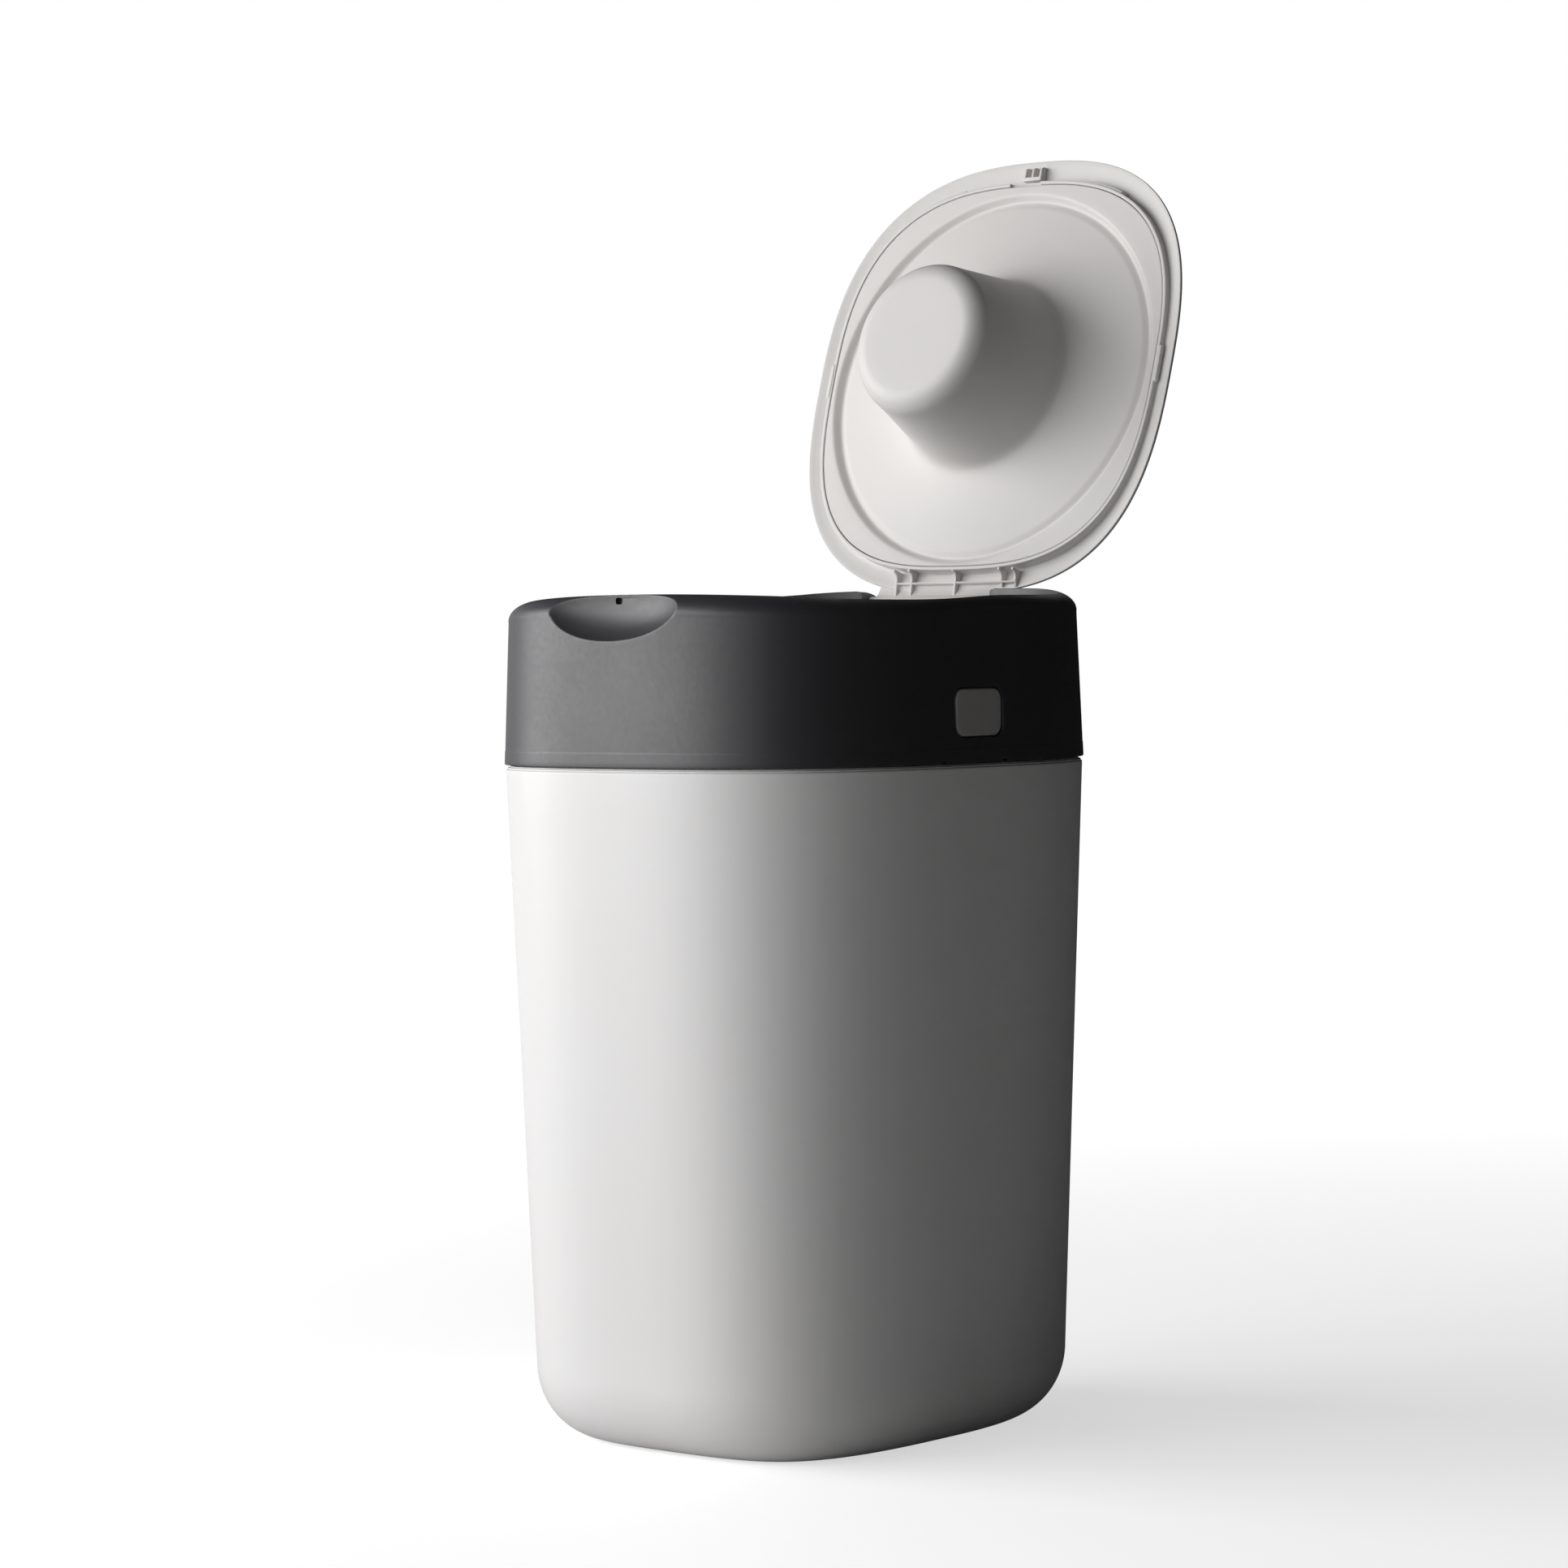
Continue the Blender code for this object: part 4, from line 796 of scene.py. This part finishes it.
def eased(node, mat, body_name, width=0.0003, seg=2):
    """A CAD piece that is right as it is, with its edges eased."""
    bm = bmesh.new()
    bm.from_mesh(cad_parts[node].data)
    bmesh.ops.remove_doubles(bm, verts=bm.verts[:], dist=1e-6)
    bmesh.ops.dissolve_limit(bm, angle_limit=math.radians(1.0), verts=bm.verts[:], edges=bm.edges[:])
    edges = [e for e in bm.edges if len(e.link_faces) == 2 and e.calc_face_angle(0) > math.radians(25)]
    bmesh.ops.bevel(bm, geom=edges, offset=width, segments=seg, profile=0.5, affect="EDGES", clamp_overlap=True)
    return make(node + "_fine", bm, mat, body_name, [node])


eased("cutter_rail", M_MECH, "upper_unit")
eased("latch_bracket", M_MECH, "upper_unit")
eased("pawl_cap", M_MECH, "upper_unit")
eased("latch_slide", M_MECH, "release_body")
eased("click_pawl", M_MECH, "pawl_body")
eased("cutter_slider", M_CUTTER, "cutter_body")
eased("cutter_blade", M_STEEL, "cutter_body", 0.00008)


# ------------------------------------------------------------- the button
def build_button():
    def face(w, h, r, x, curve=0.0):
        return [(x - curve * (y - BUTTON_Y) ** 2, y, z) for y, z in rounded_rect(BUTTON_Y, BUTTON_Z, w, h, r, 14)]
    w, h = BUTTON_W, BUTTON_H
    rings = [face(w + 0.0050, h + 0.0050, 0.0065, 0.1102), face(w + 0.0050, h + 0.0050, 0.0065, 0.1115),
             face(w + 0.0048, h + 0.0048, 0.0065, 0.1116), face(w + 0.0002, h + 0.0002, 0.0056, 0.1117),
             face(w, h, 0.0055, 0.1119), face(w, h, 0.0055, 0.1144, 1.0)]
    for a in (15, 30, 45, 60, 75, 90):
        a = math.radians(a)
        s = 0.0010 * (1 - math.cos(a))
        rings.append(face(w - 2 * s, h - 2 * s, 0.0055 - s, 0.1144 + 0.0010 * math.sin(a), 1.0))
    for s in (0.0020, 0.0035, 0.0060, 0.0090):
        rings.append(face(w - 2 * s, h - 2 * s, max(0.0055 - s, 0.0012), 0.1154, 1.0))
    return loft(rings)


make("release_button_fine", build_button(), M_BUTTON, "release_body", ["release_button"])


# ----------------------------------------------- twist ring and cassette
def build_twist_ring():
    n = 480
    prof = [(0.0945, 0.3841), (0.0945, 0.3868), (0.0943, 0.3873), (0.0937, 0.38775), (0.0928, 0.3878),
            (0.0916, 0.3878), (0.0908, 0.3874), (0.0898, 0.3866), (0.0884, 0.3863), (0.0874, 0.3861),
            (0.0869, 0.3856), (0.0868, 0.3850), (0.0868, 0.3396), (0.0866, 0.3393), (0.0862, 0.3392),
            (0.0604, 0.3392), (0.0600, 0.3389), (0.0600, 0.3371), (0.0604, 0.3368), (0.0876, 0.3368),
            (0.0882, 0.3374), ("low", 0.3440), ("mid", 0.3448), ("tooth", 0.3456), ("tooth", 0.3500),
            ("tooth", 0.3544), ("mid", 0.3552), ("low", 0.3560), (0.0882, 0.3825), (0.0884, 0.3836),
            (0.0892, 0.3841)]
    a = np.linspace(0, 2 * math.pi, n, endpoint=False)
    tooth = np.abs(((a / (2 * math.pi) * 24) % 1.0) - 0.5) * 2  # 1 in a valley, 0 on a tip
    tooth = np.clip((1 - tooth - 0.12) / 0.76, 0, 1)
    rings = []
    for r, z in prof:
        if isinstance(r, str):
            k = {"low": 0.0, "mid": 0.55, "tooth": 1.0}[r]
            r = 0.0882 + 0.0014 * tooth * k
        rings.append(np.column_stack([r * np.cos(a), RING_Y + r * np.sin(a), np.full(n, z)]))
    bm = loft(rings, loop=True)
    lugs = []
    for k in range(4):
        lug = box(0.0770, 0.0890, -0.0075, 0.0075, 0.3836, 0.3866, 0.0008, 3)
        bmesh.ops.transform(lug, matrix=Matrix.Translation((0, RING_Y, 0)) @ Matrix.Rotation(
            math.radians(45 + 90 * k), 4, "Z"), verts=lug.verts[:])
        lugs.append(lug)
    return boolean(bm, lugs, "UNION")


make("twist_ring_fine", build_twist_ring(), M_RING, "ring_body", ["twist_ring"])
make("cassette_body_fine", turned(rounded([
    (0.0580, 0.3397), (0.0860, 0.3397), (0.0860, 0.3800), (0.0840, 0.3800), (0.0840, 0.3416),
    (0.0600, 0.3416), (0.0600, 0.3812), (0.0592, 0.3822), (0.0580, 0.3812)], 0.0005)), M_CASS, "ring_body",
    ["cassette_body"])


def build_cap():
    """Flat cap with a rolled inner lip and shallow radial ribs."""
    prof = rounded([(0.0640, 0.3804), (0.0860, 0.3804), (0.0860, 0.3822), (0.0700, 0.3824), (0.0664, 0.3828),
                    (0.0650, 0.3828), (0.0640, 0.3820)], 0.0004)
    n = 360
    a = np.linspace(0, 2 * math.pi, n, endpoint=False)
    rib = np.clip(1 - np.abs(((a / (2 * math.pi) * 36) % 1.0) - 0.5) * 2 / 0.25, 0, 1)
    rings = []
    for r, z in prof:
        lift = 0.0003 * rib if (z > 0.3816 and 0.0685 < r < 0.0850) else 0.0
        rings.append(np.column_stack([r * np.cos(a), RING_Y + r * np.sin(a), z + np.zeros(n) + lift]))
    return loft(rings, loop=True)


make("cassette_cap_fine", build_cap(), M_CAP, "ring_body", ["cassette_cap"])


def build_film():
    """Gathered film: a stack of pleats packed in the trough."""
    prof = []
    layers = 9
    z0, z1 = 0.3420, 0.3700
    for i in range(layers):
        z = mix(z0, z1, i / layers)
        h = (z1 - z0) / layers
        prof += [(0.0832, z + 0.1 * h), (0.0834, z + 0.5 * h), (0.0826, z + 0.95 * h)]
    prof += [(0.0800, z1), (0.0640, z1 - 0.0004), (0.0612, z1 - 0.0006)]
    for i in reversed(range(layers)):
        z = mix(z0, z1, i / layers)
        h = (z1 - z0) / layers
        prof += [(0.0612, z + 0.9 * h), (0.0606, z + 0.5 * h), (0.0610, z + 0.1 * h)]
    n = 360
    a = np.linspace(0, 2 * math.pi, n, endpoint=False)
    rings = []
    for i, (r, z) in enumerate(prof):
        wob = 0.00025 * np.sin(47 * a + 1.7 * i) * np.sin(31 * a + 0.6 * i)
        top = 0.0005 * (0.5 * np.sin(90 * a + 0.3 * i) - 0.5) if abs(z - z1) < 0.0007 else 0.0
        rr = np.clip(r + wob, 0.0606, 0.0834)
        rings.append(np.column_stack([rr * np.cos(a), RING_Y + rr * np.sin(a), z + np.zeros(n) + top]))
    return loft(rings, loop=True)


make("film_pack_fine", build_film(), M_FILM, "ring_body", ["film_pack"], 50.0)


# --------------------------------------------------------------------- lid
OPEN = (Matrix.Translation((0, LID_AXIS_Y, LID_AXIS_Z)) @ Matrix.Rotation(-math.radians(LID_OPEN_DEG), 4, "X")
        @ Matrix.Translation((0, -LID_AXIS_Y, -LID_AXIS_Z)))


def edge_z(x):
    return LID_Z - LID_SADDLE * (x / LID_A) ** 2


def crown_z(x, s):
    top = edge_z(x) + 0.0020
    return top + (LID_CROWN_Z - top) * (1 - s ** 3.2)


def crown(s, drop=0.0):
    p = lid_line(-0.0005)
    return np.column_stack([p[:, 0] * s, LID_YC + (p[:, 1] - LID_YC) * s, crown_z(p[:, 0], s) - drop])


def build_cover():
    rings = [crown(s) for s in (0.02, 0.10, 0.20, 0.30, 0.40, 0.50, 0.58, 0.66, 0.73, 0.80, 0.86, 0.91, 0.94,
                                0.965, 0.98, 0.99)]
    for off, z in ((-0.0005, 0.0020), (-0.00022, 0.00182), (-0.00006, 0.0015), (0.0, 0.0012), (0.0, 0.0005),
                   (-0.00008, 0.0002), (-0.0003, 0.00003), (-0.0006, 0.0)):
        p = lid_line(off)
        rings.append(at(p, edge_z(p[:, 0]) + z))
    flange_in = liner_line(0.0030)
    far = lid_line(-0.0006)
    for k in (0.2, 0.5, 0.8):
        p = mix(far, flange_in, k)
        rings.append(at(p, edge_z(p[:, 0]) + 0.0012 * k))
    for off, z in ((0.0030, 0.0013), (0.0025, 0.0012), (0.0022, 0.0008), (0.0021, 0.0002)):
        p = liner_line(off)
        rings.append(at(p, edge_z(p[:, 0]) + z))
    bottom = LINER_Z - 0.0003
    p = liner_line(0.0021)
    for k in (0.33, 0.66):
        rings.append(at(p, mix(edge_z(p[:, 0]), bottom + 0.0004, k)))
    for off, z in ((0.0021, 0.0003), (0.0020, 0.0001), (0.00175, 0.0), (0.0008, 0.0), (0.0005, 0.0001),
                   (0.0004, 0.00035)):
        rings.append(at(liner_line(off), bottom + z))
    p, u = liner_line(0.0006), lid_line(-0.0005)
    s = np.hypot(p[:, 0], p[:, 1] - LID_YC) / np.hypot(u[:, 0], u[:, 1] - LID_YC)
    rings.append(at(p, crown_z(u[:, 0], s) - LID_SHELL))
    rings += [crown(k, LID_SHELL) for k in (0.80, 0.70, 0.60, 0.45, 0.30, 0.15, 0.02)]
    bm = loft(rings)

    bx0, bx1 = NOTCH_X0 + 0.0006, NOTCH_X1 - 0.0006
    neck = [(0.0965, 0.3962), (0.0965, 0.3985), (0.1040, 0.3974), (0.1110, 0.3956), (0.1150, 0.3944),
            (0.1168, 0.3936), (0.1172, 0.3930), (0.1170, 0.3924), (0.1142, 0.3922), (0.1142, 0.3888)]
    for k in range(9):
        a = math.radians(-40 - 100 * k / 8)
        neck.append((0.1110 + 0.0034 * math.cos(a), 0.3903 + 0.0031 * math.sin(a)))
    neck += [(0.1078, 0.3890), (0.1078, 0.3925), (0.1040, 0.3945)]
    bm = boolean(bm, [prism(neck, "x", bx0, bx1, 0.0004)], "UNION")
    ribs = []
    for dx, y1 in ((-0.0370, 0.1085), (-0.0275, 0.1085), (0.0, 0.1085), (0.0285, 0.1022), (0.0370, 0.1022)):
        poly = [(0.0938, 0.3972), (0.0938, 0.3887)]
        for k in range(9):
            a = math.radians(90 * k / 8)
            poly.append((0.0992 - 0.0042 * math.cos(a), 0.3887 + 0.0035 * math.sin(a)))
        poly += [(y1 - 0.0006, 0.3934), (y1, 0.3938), (y1, 0.3950), (0.1010, 0.3964)]
        ribs.append(prism(poly, "x", dx - 0.00065, dx + 0.00065, 0.00022))
    for dx in (-0.0048, 0.0, 0.0048):
        poly = [(-0.1138, 0.3970), (-0.1138, 0.3915)]
        for k in range(9):
            a = math.radians(90 * k / 8)
            poly.append((-0.1172 - 0.0028 * math.sin(a), 0.3946 - 0.0031 * math.cos(a)))
        poly.append((-0.1200, 0.3962))
        ribs.append(prism(poly, "x", TAB_X + dx - 0.0006, TAB_X + dx + 0.0006, 0.00015))
    bm = boolean(bm, ribs, "UNION")
    more = [box(-0.0370, 0.0370, 0.0995, 0.1005, 0.3924, 0.3968, 0.0002),
            box(TAB_X - 0.0055, TAB_X + 0.0055, -0.1143, -0.1123, 0.3915, 0.3970, 0.0002)]
    # pill-shaped pads on the skirt's sides, and ledges near its front corners
    for side in (-1, 1):
        pill = prism(rounded_rect(-0.0090, 0.3898, 0.0190, 0.0028, 0.0013, 8), "x",
                     side * 0.1011, side * 0.1034, 0.0004, 3, 40)
        more.append(pill)
    bm = boolean(bm, more, "UNION")
    ledges = []
    for side in (-1, 1):
        pts_out, pts_in = [], []
        for x in np.linspace(0.0375, 0.0615, 12):
            a = LINER_A + 0.0021
            y = -(LINER_F + 0.0021) * (1 - (x / a) ** LINER_NF) ** (1 / LINER_NF) + LID_YC
            pts_in.append((side * x, y + 0.0007))
            pts_out.append((side * x, y - 0.0012))
        ledges.append(prism(pts_out + pts_in[::-1], "z", LINER_Z + 0.0007, 0.3955, 0.0003, 2, 35))
    bm = boolean(bm, ledges, "UNION")
    cuts = [rod("x", (LID_AXIS_Y, LID_AXIS_Z), 0.0019, NOTCH_X0 - 0.01, NOTCH_X1 + 0.01)]
    # gap in the skirt behind the latch tab
    cuts.append(box(-0.0090, 0.0100, -0.1130, -0.10855, LINER_Z - 0.0010, LINER_Z + 0.0016, 0.0003))
    return boolean(bm, cuts, "DIFFERENCE")


make("lid_cover_fine", build_cover(), M_COVER, "lid_body", ["lid_cover"], 30.0, OPEN)


def curve_through(pts, per=6):
    """Catmull-Rom through (r, z) points."""
    out = []
    p = [np.array(q, float) for q in pts]
    p = [2 * p[0] - p[1]] + p + [2 * p[-1] - p[-2]]
    for i in range(1, len(p) - 2):
        for k in range(per):
            t = k / per
            a, b, c, d = p[i - 1], p[i], p[i + 1], p[i + 2]
            out.append(tuple(0.5 * ((2 * b) + (c - a) * t + (2 * a - 5 * b + 4 * c - d) * t * t
                                    + (3 * b - a - 3 * c + d) * t ** 3)))
    out.append(tuple(p[-2]))
    return out


def build_liner():
    n = 360
    edge_in = 0.0004
    rings = [at(liner_line(-edge_in), LINER_Z + LINER_T), at(liner_line(-0.0001), LINER_Z + LINER_T - 0.0002),
             at(liner_line(0.0), LINER_Z + LINER_T - 0.0005), at(liner_line(0.0), LINER_Z + 0.0005),
             at(liner_line(-0.0001), LINER_Z + 0.0002), at(liner_line(-edge_in), LINER_Z)]
    lip = [(0.0985, LINER_Z), (0.0977, LINER_Z + 0.00008), (0.0970, LINER_Z + 0.0004), (0.0962, 0.3904),
           (0.0954, 0.3914), (0.0948, 0.39185), (0.0942, 0.3920), (0.0936, 0.39185), (0.0928, 0.3914),
           (0.0918, 0.39095), (0.0908, 0.3906)]
    rim = at(circle(0.0985, RING_Y, n), LINER_Z)
    border = at(liner_line(-edge_in), LINER_Z)
    for k in (0.35, 0.7):
        rings.append(mix(border, rim, k))
    under = lip + curve_through([(0.0900, 0.3905), (0.0800, 0.38925), (0.0700, 0.3880), (0.0600, 0.3864),
                                 (0.0545, 0.3851), (0.0510, 0.3835), (0.0492, 0.3812), (0.0482, 0.3785)], 5)
    wall_top, wall_low = (0.0479, 0.3775), (TIP_R + TIP_ROUND, PLUNGER_TIP_Z + TIP_ROUND)
    for k in np.linspace(0.0, 1.0, 8)[:-1]:
        under.append((mix(wall_top[0], wall_low[0], k), mix(wall_top[1], wall_low[1], k)))
    for deg in np.linspace(84, 0, 15):
        q = math.radians(deg)
        under.append((TIP_R + TIP_ROUND * math.sin(q), PLUNGER_TIP_Z + TIP_ROUND * (1 - math.cos(q))))
    for k in (0.8, 0.5, 0.25, 0.002):
        under.append((TIP_R * k, PLUNGER_TIP_Z))
    rings += [at(circle(r, RING_Y, n), z) for r, z in under]
    above = [(0.00005, PLUNGER_TIP_Z + 0.0020), (0.0275, PLUNGER_TIP_Z + 0.0020), (0.0310, PLUNGER_TIP_Z + 0.0030),
             (0.0340, PLUNGER_TIP_Z + 0.0050), (0.0372, 0.3372), (0.0457, 0.3785), (0.0478, 0.3845),
             (0.0530, 0.3868), (0.0890, 0.3922), (0.0922, 0.3936), (0.0958, 0.3936), (0.0976, LINER_Z + LINER_T)]
    rings += [at(circle(r, RING_Y, n), z) for r, z in above]
    bm = loft(rings, loop=True)
    # gate mark: a tiny raised arc in the middle of the plunger's face
    arc = []
    for k in range(13):
        a = math.radians(50 + 260 * k / 12)
        arc.append((0.00155 * math.cos(a) - 0.0004, -0.0078 + 0.00155 * math.sin(a)))
    for k in range(13):
        a = math.radians(310 - 260 * k / 12)
        arc.append((0.00105 * math.cos(a) - 0.0004, -0.0078 + 0.00105 * math.sin(a)))
    return boolean(bm, [prism(arc, "z", PLUNGER_TIP_Z - 0.00005, PLUNGER_TIP_Z + 0.0006)], "UNION")


make("lid_liner_fine", build_liner(), M_LINER, "lid_body", ["lid_liner"], 30.0, OPEN)

# ------------------------------------------------------------ floor and light
def floor_material():
    m = bpy.data.materials.new("pale_floor")
    m.use_nodes = True
    n, link = m.node_tree.nodes, m.node_tree.links.new
    b = n["Principled BSDF"]
    b.inputs["Roughness"].default_value = 0.7
    b.inputs["Specular IOR Level"].default_value = 0.2
    tc = n.new("ShaderNodeTexCoord")
    t = n.new("ShaderNodeTexNoise")
    t.inputs["Scale"].default_value = 3.0
    link(tc.outputs["Object"], t.inputs["Vector"])
    c = n.new("ShaderNodeMix")
    c.data_type = "RGBA"
    c.inputs["A"].default_value = (0.80, 0.80, 0.80, 1)
    c.inputs["B"].default_value = (0.78, 0.78, 0.78, 1)
    link(t.outputs["Fac"], c.inputs["Factor"])
    link(c.outputs["Result"], b.inputs["Base Color"])
    # the sheet glows a little, more so far from the object, so it reads white
    length = n.new("ShaderNodeVectorMath")
    length.operation = "LENGTH"
    link(tc.outputs["Object"], length.inputs[0])
    r = n.new("ShaderNodeMapRange")
    r.interpolation_type = "SMOOTHSTEP"
    r.inputs["From Min"].default_value, r.inputs["From Max"].default_value = 0.15, 2.2
    r.inputs["To Min"].default_value, r.inputs["To Max"].default_value = 0.62, 1.0
    link(length.outputs["Value"], r.inputs["Value"])
    b.inputs["Emission Color"].default_value = (1, 1, 1, 1)
    eye = n.new("ShaderNodeLightPath")
    glow = n.new("ShaderNodeMath")
    glow.operation = "MULTIPLY"
    link(r.outputs["Result"], glow.inputs[0])
    link(eye.outputs["Is Camera Ray"], glow.inputs[1])
    link(glow.outputs[0], b.inputs["Emission Strength"])
    return m


bm = bmesh.new()
bmesh.ops.create_circle(bm, cap_ends=True, segments=96, radius=14.0)
me = bpy.data.meshes.new("floor")
bm.to_mesh(me)
bm.free()
me.materials.append(floor_material())
floor = bpy.data.objects.new("floor", me)
bpy.context.scene.collection.objects.link(floor)
floor.visible_glossy = False

scene = bpy.context.scene
world = bpy.data.worlds.new("studio")
scene.world = world
world.use_nodes = True
wn, wl = world.node_tree.nodes, world.node_tree.links.new
bg = wn["Background"]
bg.inputs["Color"].default_value = (1.0, 1.0, 1.0, 1.0)
path = wn.new("ShaderNodeLightPath")
wr = wn.new("ShaderNodeMapRange")
wr.inputs["To Min"].default_value, wr.inputs["To Max"].default_value = 0.018, 1.0
wl(path.outputs["Is Camera Ray"], wr.inputs["Value"])
wl(wr.outputs["Result"], bg.inputs["Strength"])


def area_light(name, direction, distance, size, power, target=(0.0, 0.0, 0.28), colour=(1, 1, 1)):
    data = bpy.data.lights.new(name, "AREA")
    data.shape = "RECTANGLE"
    data.size, data.size_y = size
    data.energy = power
    data.color = colour
    o = bpy.data.objects.new(name, data)
    d = Vector(direction).normalized()
    o.location = Vector(target) + d * distance
    o.rotation_mode = "QUATERNION"
    o.rotation_quaternion = (-d).to_track_quat("-Z", "Y")
    scene.collection.objects.link(o)
    return o


def toward(az, el):
    a, e = math.radians(az), math.radians(el)
    return (math.sin(a) * math.cos(e), -math.cos(a) * math.cos(e), math.sin(e))


area_light("key_left", toward(-60, 15), 2.6, (1.6, 1.9), 44.0)
area_light("key_front", toward(-25, 15), 2.6, (1.5, 1.9), 28.0)
area_light("front_right", toward(9, 12), 2.6, (1.4, 1.6), 6.0)
area_light("left_edge", toward(-108, 8), 2.6, (1.6, 1.9), 5.0)

# ------------------------------------------------------------------ camera
AZ, DIST, EYE = math.radians(39.6033), 2.1744, 0.3776
YAW, PITCH, ROLL = math.radians(0.3068), math.radians(1.9041), math.radians(-0.6696)
FOCAL_PX, FRAME_PX = 5627.25, 1932.0
turn = AZ + YAW
fwd = Vector((-math.sin(turn) * math.cos(PITCH), math.cos(turn) * math.cos(PITCH), -math.sin(PITCH)))
right = Vector((math.cos(turn), math.sin(turn), 0.0))
up = right.cross(fwd)
r2 = math.cos(ROLL) * right + math.sin(ROLL) * up
u2 = -math.sin(ROLL) * right + math.cos(ROLL) * up
cam_data = bpy.data.cameras.new("camera")
cam_data.sensor_width = 36.0
cam_data.lens = FOCAL_PX / FRAME_PX * 36.0
cam_data.clip_start, cam_data.clip_end = 0.05, 60.0
camera = bpy.data.objects.new("camera", cam_data)
rot = Matrix((r2, u2, -fwd)).transposed()
camera.matrix_world = Matrix.Translation((DIST * math.sin(AZ), -DIST * math.cos(AZ), EYE)) @ rot.to_4x4()
scene.collection.objects.link(camera)
scene.camera = camera
scene.view_settings.view_transform = "Standard"
scene.view_settings.look = "None"
scene.view_settings.exposure = 0.0
scene.view_settings.gamma = 1.0
